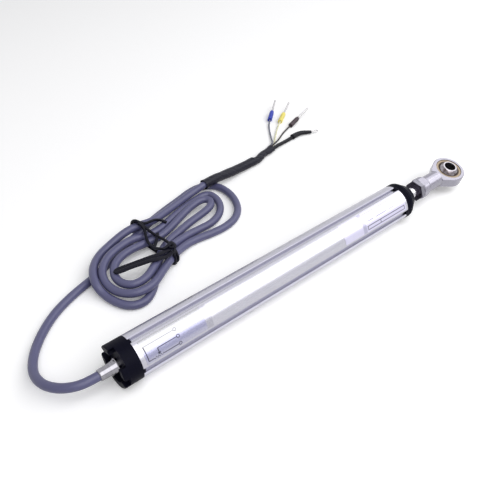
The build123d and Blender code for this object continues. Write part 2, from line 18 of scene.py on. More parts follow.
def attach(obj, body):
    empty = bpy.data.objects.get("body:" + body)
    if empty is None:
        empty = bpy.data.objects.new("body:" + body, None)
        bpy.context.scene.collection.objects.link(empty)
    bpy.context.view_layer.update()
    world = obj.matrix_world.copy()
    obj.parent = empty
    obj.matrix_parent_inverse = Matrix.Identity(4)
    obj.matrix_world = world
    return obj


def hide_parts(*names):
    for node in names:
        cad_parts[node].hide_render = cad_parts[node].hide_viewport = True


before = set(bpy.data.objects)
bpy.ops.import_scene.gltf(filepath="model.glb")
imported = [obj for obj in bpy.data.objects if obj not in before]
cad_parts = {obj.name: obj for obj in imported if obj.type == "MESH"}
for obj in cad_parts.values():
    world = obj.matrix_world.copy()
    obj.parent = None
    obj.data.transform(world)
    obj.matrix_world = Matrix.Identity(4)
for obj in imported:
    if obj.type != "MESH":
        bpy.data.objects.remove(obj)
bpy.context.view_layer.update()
LOG = logging.getLogger("displacement_sensor")

MM = 0.001
AXIS_HEIGHT = 9.5
EYE_CENTRE = (104.75, 0.0, AXIS_HEIGHT)
EYE_ROLL = math.radians(13.3)
SHARP_ANGLE = math.radians(35.0)
CORD_ORDER = 3
CORD_STEPS = 6
CORD_ROUNDNESS = 5
LEAST_HEIGHT = 0.03 * MM
Point = Tuple[float, float, float]
Span = Tuple[float, float]
Colour = Tuple[float, float, float]
Socket = bpy.types.NodeSocket


class Signal:
    """A shader value that adds its own Math nodes when it is used in an expression."""

    def __init__(self, bench: "Bench", socket: Socket) -> None:
        """Wrap one output socket of a bench's material."""
        self.bench = bench
        self.socket = socket

    def __add__(self, other: "Number") -> "Signal":
        """Sum of two values."""
        return self.bench.math("ADD", self, other)

    __radd__ = __add__

    def __sub__(self, other: "Number") -> "Signal":
        """Difference of two values."""
        return self.bench.math("SUBTRACT", self, other)

    def __rsub__(self, other: "Number") -> "Signal":
        """Difference with this value taken from a number."""
        return self.bench.math("SUBTRACT", other, self)

    def __mul__(self, other: "Number") -> "Signal":
        """Product of two values."""
        return self.bench.math("MULTIPLY", self, other)

    __rmul__ = __mul__

    def __truediv__(self, other: "Number") -> "Signal":
        """Quotient of two values."""
        return self.bench.math("DIVIDE", self, other)

    def __abs__(self) -> "Signal":
        """Size of the value without its sign."""
        return self.bench.math("ABSOLUTE", self)


Number = Union[Signal, float]


class Bench:
    """Builds one procedural material, node by node."""

    def __init__(self, owner: Union[bpy.types.Material, bpy.types.World]) -> None:
        """Start with an empty node tree.

        Args:
            owner: The material or world that the nodes belong to.
        """
        owner.use_nodes = True
        self.owner = owner
        self.nodes = owner.node_tree.nodes
        self.links = owner.node_tree.links
        self.nodes.clear()

    def node(self, kind: str, values: Optional[Dict] = None, **settings: str) -> bpy.types.Node:
        """Add a node, set it up, and fill or link its inputs.

        Args:
            kind: The node's type.
            values: Numbers, colours, sockets or signals by input name or index.
            **settings: Properties set before the inputs.

        Returns:
            The new node.
        """
        made = self.nodes.new(kind)
        for key, value in settings.items():
            setattr(made, key, value)
        for key, value in (values or {}).items():
            socket = made.inputs[key]
            if isinstance(value, Signal):
                self.links.new(value.socket, socket)
            elif isinstance(value, bpy.types.NodeSocket):
                self.links.new(value, socket)
            elif isinstance(value, tuple) and len(value) == 3 and socket.type == "RGBA":
                socket.default_value = (*value, 1.0)
            else:
                socket.default_value = value
        return made

    def math(self, operation: str, *terms: Number) -> Signal:
        """Value of one Math operation on signals and numbers."""
        made = self.node("ShaderNodeMath", dict(enumerate(terms)), operation=operation)
        return Signal(self, made.outputs[0])

    def fade(self, value: Signal, start: float, end: float) -> Signal:
        """Straight rise from 0 at start to 1 at end, level beyond them; start may lie above end."""
        values = {"Value": value, "From Min": start, "From Max": end}
        return Signal(self, self.node("ShaderNodeMapRange", values).outputs[0])

    def near(self, value: Signal, centre: float, half: float, soft: float) -> Signal:
        """One within half of the centre, fading to zero over soft."""
        return self.fade(abs(value - centre), half + soft, half)

    def inside(self, value: Signal, low: float, high: float, soft: float) -> Signal:
        """One between low and high, fading to zero over soft."""
        return self.fade(value, low - soft, low) * self.fade(value, high + soft, high)

    def place(self, scale: Point) -> Socket:
        """Object coordinates, scaled by so many pattern cells per metre along each axis."""
        coordinates = self.node("ShaderNodeTexCoord").outputs["Object"]
        return self.node("ShaderNodeMapping", {"Vector": coordinates, "Scale": scale}).outputs[0]

    def axes(self) -> Tuple[Signal, Signal, Signal]:
        """Object coordinates in millimetres, as three signals."""
        split = self.node("ShaderNodeSeparateXYZ", {0: self.place((1 / MM, 1 / MM, 1 / MM))})
        return tuple(Signal(self, split.outputs[index]) for index in range(3))

    def around(self) -> Tuple[Signal, Signal]:
        """Place along the sensor's axis in millimetres, and angle round it in degrees from +Y over +Z."""
        along, side, height = self.axes()
        return along, self.math("ARCTAN2", height - AXIS_HEIGHT, side) * math.degrees(1.0)

    def from_eye(self) -> Signal:
        """Distance in millimetres from the rod end's own axis, which leans to the side."""
        x, y, z = (value - middle for value, middle in zip(self.axes(), EYE_CENTRE))
        along = z * math.cos(EYE_ROLL) - y * math.sin(EYE_ROLL)
        return self.math("SQRT", self.math("MAXIMUM", x * x + y * y + z * z - along * along, 0.0))

    def noise(self, scale: Point, detail: float, roughness: float) -> Signal:
        """Cloudy value from 0 to 1.

        Args:
            scale: Cells per millimetre along each axis.
            detail: Octaves of the pattern.
            roughness: Weight of the finer octaves.

        Returns:
            The noise value.
        """
        vector = self.place(tuple(cells / MM for cells in scale))
        values = {"Vector": vector, "Scale": 1.0, "Detail": detail, "Roughness": roughness}
        return Signal(self, self.node("ShaderNodeTexNoise", values).outputs["Fac"])

    def mix(self, factor: Number, first: Union[Colour, Socket], second: Union[Colour, Socket]) -> Socket:
        """Colour between two colours, where the factor is the share of the second."""
        return self.node("ShaderNodeMix", {0: factor, 6: first, 7: second}, data_type="RGBA").outputs[2]

    def bump(self, height: Signal, distance: float) -> Socket:
        """Normal bent by a relief, where a height of 1 stands for the distance in metres."""
        return self.node("ShaderNodeBump", {"Height": height, "Distance": distance}).outputs[0]

    def finish(self, **inputs: Union[Number, Colour, Socket]) -> bpy.types.Material:
        """Close the material with a Principled shader.

        Args:
            **inputs: Shader inputs by name, with underscores for spaces.

        Returns:
            The finished material.
        """
        values = {key.replace("_", " "): value for key, value in inputs.items()}
        shader = self.node("ShaderNodeBsdfPrincipled", values)
        self.node("ShaderNodeOutputMaterial", {0: shader.outputs[0]})
        return self.owner


def bench_for(name: str) -> Bench:
    """Bench with a new, empty material of that name."""
    return Bench(bpy.data.materials.new(name + "_finish"))


@dataclass(frozen=True)
class Pattern:
    """Noise with so many cells per millimetre, and its weights in a finish."""

    cells: Point
    colour: float = 0.0
    rough: float = 0.0
    relief: float = 0.0
    detail: float = 3.0
    finer: float = 0.5

    def on(self, bench: Bench) -> Signal:
        """The pattern's value in a bench's material."""
        return bench.noise(self.cells, self.detail, self.finer)


def even(cells: float) -> Point:
    """The same number of cells along each axis."""
    return (cells, cells, cells)


@dataclass(frozen=True)
class Finish:
    """Finish whose colour, roughness and relief are sums of two weighted patterns.

    The roughness given is the least one, where both patterns are 0.
    """

    metallic: ClassVar[float] = 0.0
    name: str
    pale: Colour
    dark: Colour
    roughness: float
    depth: float = 0.000012
    gloss: float = 0.5

    def patterns(self) -> Tuple[Pattern, Pattern]:
        """The finish's two patterns."""
        raise NotImplementedError

    def marked(self, bench: Bench, base: Socket) -> Socket:
        """The base colour with any marks that the finish adds to it."""
        return base

    def make(self) -> bpy.types.Material:
        """Build the material."""
        bench = bench_for(self.name)
        first, second = self.patterns()
        one, two = first.on(bench), second.on(bench)
        base = bench.mix(one * first.colour + two * second.colour, self.dark, self.pale)
        return bench.finish(
            Base_Color=self.marked(bench, base),
            Metallic=self.metallic,
            Roughness=one * first.rough + two * second.rough + self.roughness,
            Specular_IOR_Level=self.gloss,
            Normal=bench.bump(one * first.relief + two * second.relief, self.depth),
        )


@dataclass(frozen=True)
class DrawnAluminium(Finish):
    """Satin anodised aluminium with the fine lengthwise lines of an extruded tube.

    A line of painted shade follows each edge of the four grooves, found by the angle from the nearest one.
    """

    metallic: ClassVar[float] = 1.0
    name: str = "anodised_aluminium"
    pale: Colour = (0.61, 0.605, 0.655)
    dark: Colour = (0.47, 0.465, 0.525)
    roughness: float = 0.19
    depth: float = 0.0000030
    shadow: Colour = (0.09, 0.09, 0.14)
    groove_turn: float = 45.0
    groove_edge: float = 6.9
    edge_half: float = 0.45
    groove_shade_share: float = 0.65

    def patterns(self) -> Tuple[Pattern, Pattern]:
        """Fine lines along the tube, and a slow cloud."""
        lines = Pattern((0.012, 5.0, 5.0), colour=0.6, rough=0.10, relief=1.0, detail=4.0, finer=0.6)
        return lines, Pattern((0.03, 0.12, 0.12), colour=0.4, rough=0.05, detail=2.0)

    def marked(self, bench: Bench, base: Socket) -> Socket:
        """The metal with a line of painted shade along each groove's edge."""
        turn = bench.math("PINGPONG", bench.around()[1], self.groove_turn)
        # Painted shade: along each groove's edge the metal is mixed towards the shadow colour.
        edge = bench.near(turn, self.groove_edge, self.edge_half, self.edge_half) * self.groove_shade_share
        return bench.mix(edge, base, self.shadow)


@dataclass(frozen=True)
class TurnedMetal(Finish):
    """Turned or plated metal, with fine rings about the sensor's axis and small stains."""

    metallic: ClassVar[float] = 1.0
    depth: float = 0.000002
    ring_pitch: float = 3.0
    stain: float = 0.35

    def patterns(self) -> Tuple[Pattern, Pattern]:
        """Rings about the axis, and stains."""
        share = 1.0 - self.stain
        rings = Pattern((self.ring_pitch, 0.05, 0.05), colour=share, rough=0.08, relief=1.0, finer=0.6)
        return rings, Pattern(even(0.22), colour=self.stain, rough=0.06)


@dataclass(frozen=True)
class SwivelBall:
    """Polished steel ball: bright end faces, a sphere with patches of painted dark reflection, and a bore
    painted dark as shade.

    The distance from the ball's own axis, which leans with the eye, tells the three apart.
    """

    name: str = "ball_steel"
    bright: Colour = (0.46, 0.44, 0.47)
    # Painted reflection: dark patches on the sphere stand in for the dark reflections of polished steel.
    painted_reflection_dark: Colour = (0.11, 0.085, 0.085)
    # Painted shade: the bore is coloured almost black.
    bore: Colour = (0.010, 0.008, 0.012)
    bore_radius: float = 3.06
    bore_edge: float = 0.03
    face_radius: float = 3.72
    face_edge: float = 0.12
    reflection_patches: Pattern = Pattern(even(0.35), rough=0.08, finer=0.6)
    reflection_from: float = 0.70
    reflection_to: float = 0.40
    polish: Pattern = Pattern(even(2.5))
    polish_depth: float = 0.0000015
    roughness: float = 0.08
    bore_rough: float = 0.40

    def make(self) -> bpy.types.Material:
        """Build the material."""
        bench = bench_for(self.name)
        spread = bench.from_eye()
        # Painted shade: inside the bore the ball is dark, dull and not metallic.
        bore_shade = bench.fade(spread, self.bore_radius + self.bore_edge, self.bore_radius)
        sphere = bench.fade(spread, self.face_radius, self.face_radius + self.face_edge)
        reflection_cloud = self.reflection_patches.on(bench)
        # Painted reflection: the sphere fades to the dark colour in cloudy patches.
        steel = bench.mix(sphere * bench.fade(reflection_cloud, self.reflection_from, self.reflection_to), self.bright, self.painted_reflection_dark)
        return bench.finish(
            Base_Color=bench.mix(bore_shade, steel, self.bore),
            Metallic=1.0 - bore_shade,
            Roughness=bore_shade * self.bore_rough + reflection_cloud * self.reflection_patches.rough + self.roughness,
            Normal=bench.bump(self.polish.on(bench), self.polish_depth),
        )


@dataclass(frozen=True)
class BronzeRace:
    """Pale bronze ring with a dark line of grease along its inner and outer edges."""

    name: str = "race_bronze"
    pale: Colour = (0.34, 0.275, 0.195)
    dark: Colour = (0.24, 0.185, 0.13)
    grease: Colour = (0.06, 0.045, 0.035)
    outer_edge: Span = (6.78, 6.95)
    inner_edge: Span = (5.93, 5.75)
    cloud: Pattern = Pattern(even(0.5), rough=0.10)
    depth: float = 0.000004
    metallic: float = 0.85
    roughness: float = 0.28
    grease_rough: float = 0.15

    def make(self) -> bpy.types.Material:
        """Build the material."""
        bench = bench_for(self.name)
        spread = bench.from_eye()
        cloud = self.cloud.on(bench)
        edges = [bench.fade(spread, *span) for span in (self.outer_edge, self.inner_edge)]
        edge = bench.math("MAXIMUM", *edges)
        metal = bench.mix(cloud, self.dark, self.pale)
        return bench.finish(
            Base_Color=bench.mix(edge, metal, self.grease),
            Metallic=self.metallic,
            Roughness=cloud * self.cloud.rough + edge * self.grease_rough + self.roughness,
            Normal=bench.bump(cloud, self.depth),
        )


@dataclass(frozen=True)
class PlatedNut:
    """Zinc-plated nut whose end face towards the cap is painted darker than its flats, as painted shade."""

    name: str = "nut_zinc"
    pale: Colour = (0.30, 0.295, 0.33)
    dark: Colour = (0.20, 0.195, 0.23)
    nut_face_shade: Colour = (0.060, 0.055, 0.075)
    # Painted shade: the nut is dark below this place along the axis.
    near_face: float = 76.30
    shade_fade: float = 0.10
    cloud: Pattern = Pattern(even(0.6), rough=0.12)
    depth: float = 0.000006
    roughness: float = 0.20

    def make(self) -> bpy.types.Material:
        """Build the material."""
        bench = bench_for(self.name)
        cloud = self.cloud.on(bench)
        turned = bench.fade(bench.axes()[0], self.near_face, self.near_face - self.shade_fade)
        metal = bench.mix(cloud, self.dark, self.pale)
        return bench.finish(
            # Painted shade: the end face towards the cap takes the dark face colour.
            Base_Color=bench.mix(turned, metal, self.nut_face_shade),
            Metallic=1.0,
            Roughness=cloud * self.cloud.rough + self.roughness,
            Normal=bench.bump(cloud, self.depth),
        )


@dataclass(frozen=True)
class Moulded(Finish):
    """Plastic or rubber with a faint grain and a slightly uneven gloss."""

    grain: float = 1.6

    def patterns(self) -> Tuple[Pattern, Pattern]:
        """Fine grain, and a slow cloud."""
        grain = Pattern(even(self.grain), colour=0.3, rough=0.10, relief=1.0, detail=4.0, finer=0.6)
        return grain, Pattern(even(0.10), colour=0.7, rough=0.08, detail=2.0)


@dataclass(frozen=True)
class TurnedPlastic(Finish):
    """Black engineering plastic, with the faint rings that turning leaves."""

    name: str = "cap_plastic"
    pale: Colour = (0.0060, 0.0062, 0.0150)
    dark: Colour = (0.0022, 0.0022, 0.0055)
    roughness: float = 0.32
    gloss: float = 0.04

    def patterns(self) -> Tuple[Pattern, Pattern]:
        """Rings about the axis, and grain."""
        rings = Pattern((2.2, 0.03, 0.03), colour=0.5, rough=0.12, relief=0.6, finer=0.55)
        return rings, Pattern(even(1.4), colour=0.5, rough=0.08, relief=0.4)


@dataclass(frozen=True)
class ShrunkFilm(Finish):
    """Thin black tubing drawn tight over wires, with creases and a dull, patchy shine."""

    pale: Colour = (0.0100, 0.0098, 0.0230)
    dark: Colour = (0.0030, 0.0030, 0.0070)
    roughness: float = 0.24
    depth: float = 0.00020
    gloss: float = 0.22
    crease: float = 0.60
    crease_stretch: float = 1.8

    def patterns(self) -> Tuple[Pattern, Pattern]:
        """Folds, longer along the sleeve than across it, and fine creases."""
        across = self.crease * self.crease_stretch
        folds = Pattern((self.crease, across, across), colour=0.8, rough=0.16, relief=0.85, finer=0.55)
        return folds, Pattern(even(2.4), colour=0.2, rough=0.10, relief=0.15)


@dataclass(frozen=True)
class PrintedFilm:
    """Label film with marks in ink. Places are millimetres along the sensor and degrees round it."""

    name: str
    ink: Colour
    metallic: float
    roughness: float
    ink_rough: float = 0.2
    grain: Pattern = Pattern(even(0.9), rough=0.06)
    depth: float = 0.000003

    def strokes(self, bench: Bench, along: Signal, angle: Signal) -> List[Signal]:
        """Share of ink of each printed mark.

        Args:
            bench: The material's bench.
            along: Place along the sensor.
            angle: Angle round it.

        Returns:
            One value for each mark.
        """
        raise NotImplementedError

    def film(self, bench: Bench, along: Signal, angle: Signal) -> Socket:
        """Colour of the bare film; it takes the same values as strokes."""
        raise NotImplementedError

    def make(self) -> bpy.types.Material:
        """Build the material."""
        bench = bench_for(self.name)
        along, angle = bench.around()
        mark: Number = 0.0
        for stroke in self.strokes(bench, along, angle):
            mark = bench.math("MAXIMUM", mark, stroke)
        grain = self.grain.on(bench)
        return bench.finish(
            Base_Color=bench.mix(mark, self.film(bench, along, angle), self.ink),
            Metallic=self.metallic - mark * self.metallic,
            Roughness=grain * self.grain.rough + mark * self.ink_rough + self.roughness,
            Normal=bench.bump(grain, self.depth),
        )


@dataclass(frozen=True)
class CircuitFilm(PrintedFilm):
    """Silvery label film with a thin printed circuit: a slider on a resistor, and three ends."""

    name: str = "rear_label_film"
    ink: Colour = (0.012, 0.012, 0.035)
    metallic: float = 0.92
    roughness: float = 0.24
    silver: Colour = (0.36, 0.36, 0.50)
    lower: Colour = (0.46, 0.455, 0.56)
    lower_fade: Span = (151.0, 160.0)
    # Painted highlight: the film above about 133 degrees is lighter, so that the lamp's reflection reads
    # white there.
    upper: Colour = (0.42, 0.42, 0.44)
    highlight_fade: Span = (137.0, 131.0)
    clear: Colour = (0.44, 0.435, 0.49)
    clear_fade: Span = (-68.5, -68.3)
    left: float = -96.3
    right: float = -82.4
    top: float = 122.5
    middle: float = 140.0
    bottom: float = 159.3
    slider: float = -91.2
    line_degrees: float = 0.75
    line_mm: float = 0.14
    soft_degrees: float = 0.5
    soft_mm: float = 0.10
    faint: float = 0.45
    faint_degrees: float = 0.525
    faint_soft: float = 0.6
    stem_end: float = 151.5
    head: Span = (151.0, 156.2)
    head_slope: float = 0.16
    head_soft_mm: float = 0.08
    head_soft_degrees: float = 0.3
    teeth: Span = (-93.9, -89.4)
    teeth_soft: float = 0.05
    tooth_pitch: float = 1.12
    tooth_height: float = 10.0
    dot_gap: float = 0.75
    dot_radius: float = 0.62
    mm_per_degree: float = 0.1676

    def strokes(self, bench: Bench, along: Signal, angle: Signal) -> List[Signal]:
        """The left side, the three lines with their dots, the slider's stem and its arrow head."""
        soft, turn = self.soft_mm, self.soft_degrees
        whole = bench.inside(along, self.left, self.right, soft)
        wave = (bench.math("PINGPONG", along / self.tooth_pitch, 0.5) - 0.25) * self.tooth_height
        teeth = bench.inside(along, *self.teeth, self.teeth_soft)
        slant = abs(along - self.slider) - (self.head[1] - angle) * self.head_slope
        side = bench.inside(angle, self.top, self.bottom, turn)
        lead = bench.inside(along, self.slider, self.right, soft)
        stem = bench.inside(angle, self.middle, self.stem_end, turn)
        head = bench.inside(angle, *self.head, self.head_soft_degrees)
        lines = [
            bench.near(along, self.left, self.line_mm, soft) * side,
            bench.near(angle, self.top, self.faint_degrees, self.faint_soft) * whole * self.faint,
            bench.near(angle, self.middle, self.line_degrees, turn) * lead,
            bench.near(along, self.slider, self.line_mm, soft) * stem,
            bench.fade(slant, self.head_soft_mm, 0.0) * head,
            bench.near(angle - wave * teeth, self.bottom, self.line_degrees, turn) * whole,
        ]
        for height, weight in ((self.top, self.faint), (self.middle, 1.0), (self.bottom, 1.0)):
            across = along - (self.right + self.dot_gap)
            around = (angle - height) * self.mm_per_degree
            ring = bench.math("SQRT", across * across + around * around)
            lines.append(bench.near(ring, self.dot_radius, soft, soft) * weight)
        return lines

    def film(self, bench: Bench, along: Signal, angle: Signal) -> Socket:
        """Silver, lighter below, with a painted highlight above, and clear beyond the print."""
        film = bench.mix(bench.fade(angle, *self.lower_fade), self.silver, self.lower)
        # Painted highlight on the film's upper part.
        film = bench.mix(bench.fade(angle, *self.highlight_fade), film, self.upper)
        return bench.mix(bench.fade(along, *self.clear_fade), film, self.clear)


@dataclass(frozen=True)
class PlainFilm(PrintedFilm):
    """Pale label film with an empty ruled box and a few plain short bars.

    A bar is given by its ends along the sensor, its sides round it and its share of ink.
    """

    name: str = "front_label_film"
    ink: Colour = (0.045, 0.042, 0.075)
    metallic: float = 0.75
    roughness: float = 0.28
    pale: Colour = (0.66, 0.64, 0.80)
    # Painted shade: a darker stripe across the film near its end, where the printed panel begins.
    margin: Colour = (0.46, 0.45, 0.58)
    shade_stripe_span: Span = (26.2, 28.0)
    shade_stripe_soft: float = 0.6
    bar_soft_mm: float = 0.12
    bar_soft_degrees: float = 0.7
    bars: Tuple[Tuple[float, float, float, float, float], ...] = (
        (28.6, 37.8, 110.2, 111.8, 0.40),
        (40.2, 48.2, 110.2, 111.8, 0.40),
        (50.0, 56.0, 110.2, 111.8, 0.25),
        (30.4, 34.4, 133.2, 135.6, 0.55),
        (36.2, 43.8, 133.2, 135.6, 0.55),
        (45.6, 50.0, 133.2, 135.6, 0.40),
        (29.0, 56.2, 147.6, 149.2, 0.95),
        (29.0, 56.2, 158.4, 160.0, 0.95),
        (29.0, 29.3, 147.6, 160.0, 0.95),
        (38.2, 38.5, 147.6, 160.0, 0.95),
        (55.9, 56.2, 147.6, 160.0, 0.95),
    )

    def strokes(self, bench: Bench, along: Signal, angle: Signal) -> List[Signal]:
        """The bars and the box's lines."""
        soft, turn = self.bar_soft_mm, self.bar_soft_degrees
        return [
            bench.inside(along, left, right, soft) * bench.inside(angle, low, high, turn) * weight
            for left, right, low, high, weight in self.bars
        ]

    def film(self, bench: Bench, along: Signal, angle: Signal) -> Socket:
        """Pale film with a stripe of painted shade near its end."""
        return bench.mix(bench.inside(along, *self.shade_stripe_span, self.shade_stripe_soft), self.pale, self.margin)


class Look(Enum):
    """Finishes of the sensor's pieces."""

    ALUMINIUM = DrawnAluminium()
    CAP = TurnedPlastic()
    REAR_LABEL = CircuitFilm()
    FRONT_LABEL = PlainFilm()
    NICKEL = TurnedMetal(
        "plated_brass", (0.42, 0.41, 0.435), (0.19, 0.185, 0.21), 0.05, 0.000006, ring_pitch=1.4, stain=0.25
    )
    ROD = TurnedMetal(
        "rod_steel", (0.64, 0.63, 0.66), (0.48, 0.47, 0.50), 0.05, 0.000004, ring_pitch=2.0, stain=0.3
    )
    ZINC = TurnedMetal(
        "zinc_steel", (0.41, 0.40, 0.45), (0.28, 0.27, 0.32), 0.19, 0.000004, ring_pitch=1.6, stain=0.6
    )
    NUT = PlatedNut()
    RACE = BronzeRace()
    BALL = SwivelBall()
    BUSH = TurnedMetal("bush_bronze", (0.62, 0.45, 0.25), (0.48, 0.33, 0.17), 0.25)
    SEAL = Moulded("seal_rubber", (0.012, 0.012, 0.014), (0.006, 0.006, 0.008), 0.47, gloss=0.3)
    CARRIER = Moulded("carrier_plastic", (0.62, 0.55, 0.40), (0.50, 0.43, 0.30), 0.42)
    TRACK = Moulded("element_track", (0.05, 0.06, 0.06), (0.03, 0.04, 0.04), 0.27)
    TINNED = TurnedMetal(
        "tinned_copper", (0.66, 0.65, 0.64), (0.42, 0.41, 0.42), 0.19, 0.000006, ring_pitch=2.2, stain=0.7
    )
    INNER_WIRE = Moulded("inner_insulation", (0.75, 0.72, 0.68), (0.62, 0.58, 0.54), 0.37)
    CARRIAGE = Moulded("carriage_plastic", (0.85, 0.84, 0.80), (0.74, 0.72, 0.68), 0.42)
    CONTACT = TurnedMetal("contact_metal", (0.80, 0.68, 0.40), (0.64, 0.50, 0.26), 0.15)
    JACKET = Moulded(
        "cable_jacket", (0.100, 0.100, 0.200), (0.072, 0.072, 0.155), 0.28, 0.00001, gloss=0.55, grain=1.2
    )
    TIE = Moulded(
        "tie_plastic", (0.005, 0.005, 0.013), (0.0022, 0.0022, 0.006), 0.26, 0.00002, gloss=0.14, grain=1.5
    )
    SLEEVE = ShrunkFilm("shrink_sleeve")
    LEAD_SLEEVE = ShrunkFilm(
        "lead_sleeve", (0.008, 0.008, 0.014), (0.0028, 0.0028, 0.005), 0.28, 0.0001, crease=0.9
    )
    BLUE_WIRE = Moulded("blue_insulation", (0.155, 0.160, 0.215), (0.110, 0.115, 0.160), 0.32)
    YELLOW_WIRE = Moulded("yellow_insulation", (0.83, 0.82, 0.58), (0.72, 0.70, 0.46), 0.34)
    BROWN_WIRE = Moulded("brown_insulation", (0.034, 0.028, 0.028), (0.020, 0.016, 0.016), 0.32)
    BLUE_COLLAR = Moulded("blue_plastic", (0.012, 0.045, 0.50), (0.006, 0.020, 0.30), 0.20)
    YELLOW_COLLAR = Moulded("yellow_plastic", (0.88, 0.78, 0.20), (0.74, 0.62, 0.12), 0.26)
    BROWN_COLLAR = Moulded("brown_plastic", (0.034, 0.010, 0.020), (0.018, 0.005, 0.010), 0.22)

    def material(self) -> bpy.types.Material:
        """The look's material, made once."""
        if self not in FINISHED:
            FINISHED[self] = self.value.make()
        return FINISHED[self]


FINISHED: Dict[Look, bpy.types.Material] = {}


def dress(node: str, look: Look) -> None:
    """Give a solid of the frame its finish.

    Args:
        node: Name of the solid's node.
        look: The finish.
    """
    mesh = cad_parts[node].data
    mesh.materials.clear()
    mesh.materials.append(look.material())
    LOG.info("dressed %s as %s", node, look.value.name)


def nurbs(name: str, points: Sequence[Point]) -> bpy.types.Curve:
    """Open smooth curve steered by control points in millimetres, with no thickness.

    Args:
        name: The curve's name.
        points: Its control points.

    Returns:
        The curve.
    """
    curve = bpy.data.curves.new(name, "CURVE")
    curve.dimensions = "3D"
    curve.resolution_u = CORD_STEPS
    spline = curve.splines.new("NURBS")
    spline.points.add(len(points) - 1)
    for target, point in zip(spline.points, points):
        target.co = (point[0] * MM, point[1] * MM, point[2] * MM, 1.0)
    spline.order_u = CORD_ORDER
    spline.use_endpoint_u = True
    spline.use_smooth = True
    return curve


def line_of(curve: bpy.types.Curve) -> np.ndarray:
    """Points along a curve's own smooth line, in metres, one row each."""
    bare = curve.copy()
    bare.bevel_depth = 0.0
    probe = bpy.data.objects.new("probe", bare)
    mesh = bpy.data.meshes.new_from_object(probe)
    line = np.empty(len(mesh.vertices) * 3)
    mesh.vertices.foreach_get("co", line)
    bpy.data.objects.remove(probe)
    bpy.data.meshes.remove(mesh)
    return line.reshape(-1, 3)


def length_of(line: np.ndarray) -> float:
    """Length of a line of points, in its own unit."""
    return float(np.linalg.norm(np.diff(line, axis=0), axis=1).sum())


def resampled(line: np.ndarray, count: int, start: float = 0.0) -> np.ndarray:
    """Points spaced evenly along a line.

    Args:
        line: The line, one row for each point.
        count: Number of points to return.
        start: Distance along the line at which they begin.

    Returns:
        The new points.
    """
    steps = np.linalg.norm(np.diff(line, axis=0), axis=1)
    reach = np.concatenate(([0.0], np.cumsum(steps)))
    wanted = np.linspace(start, reach[-1], count)
    return np.column_stack([np.interp(wanted, reach, line[:, axis]) for axis in range(3)])


def lay_cord(name: str, points: Sequence[Point], radius: float, look: Look) -> bpy.types.Object:
    """Round cord on the housing, along a smooth curve that the points steer.

    Args:
        name: The piece's name.
        points: Control points in millimetres.
        radius: The cord's radius in metres.
        look: Its finish.

    Returns:
        The curve's object.
    """
    curve = nurbs(name, points)
    curve.bevel_depth = radius
    curve.bevel_resolution = CORD_ROUNDNESS
    curve.use_fill_caps = True
    curve.materials.append(look.material())
    cord = bpy.data.objects.new(name, curve)
    bpy.context.collection.objects.link(cord)
    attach(cord, "housing")
    LOG.info("laid %s with %d points", name, len(points))
    return cord


def loft(name: str, rings: np.ndarray, look: Look, body: str, closed: bool) -> bpy.types.Object:
    """Closed surface through a row of rings.

    Each ring of points is joined to the next by quads. The row ends in two flat caps, or it
    joins its own start when it is closed.

    Args:
        name: The piece's name.
        rings: Points in metres, indexed by ring, place in the ring and axis.
        look: Its finish.
        body: The body that it rides on.
        closed: True where the last ring joins the first.

    Returns:
        The new object.
    """
    count, sides = rings.shape[:2]
    index = np.arange(count * sides).reshape(count, sides)
    if closed:
        index = np.vstack([index, index[:1]])
    turned = np.roll(index, -1, axis=1)
    quads = np.stack([index[:-1], turned[:-1], turned[1:], index[1:]], axis=-1).reshape(-1, 4)
    faces = [tuple(quad) for quad in quads.tolist()]
    if not closed:
        faces += [tuple(index[0, ::-1].tolist()), tuple(index[-1].tolist())]
    mesh = bpy.data.meshes.new(name)
    mesh.from_pydata(rings.reshape(-1, 3).tolist(), [], faces)
    smooth = np.ones(len(faces), dtype=bool)
    smooth[len(quads):] = False
    mesh.polygons.foreach_set("use_smooth", smooth)
    mesh.materials.append(look.material())
    mesh.validate()
    mesh.set_sharp_from_angle(angle=SHARP_ANGLE)
    piece = bpy.data.objects.new(name, mesh)
    bpy.context.collection.objects.link(piece)
    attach(piece, body)
    LOG.info("made %s with %d faces", name, len(faces))
    return piece


def tube_rings(line: np.ndarray, across: np.ndarray, rise: np.ndarray) -> np.ndarray:
    """Rings of points round a line.

    A ring's point is the line's point, plus across times the level direction square to the
    line, plus rise times the direction square to both. Nothing goes below the least height.

    Args:
        line: Points along the middle, in metres.
        across: Level offset of each ring's points, in metres.
        rise: Upward offset of each ring's points, in metres.

    Returns:
        The rings, indexed by ring, place in the ring and axis.
    """
    run = np.gradient(line, axis=0)
    run /= np.linalg.norm(run, axis=1, keepdims=True)
    level = np.cross((0.0, 0.0, 1.0), run)
    level /= np.linalg.norm(level, axis=1, keepdims=True)
    upward = np.cross(run, level)
    rings = line[:, None] + across[..., None] * level[:, None] + rise[..., None] * upward[:, None]
    rings[..., 2] = np.maximum(rings[..., 2], LEAST_HEIGHT)
    return rings


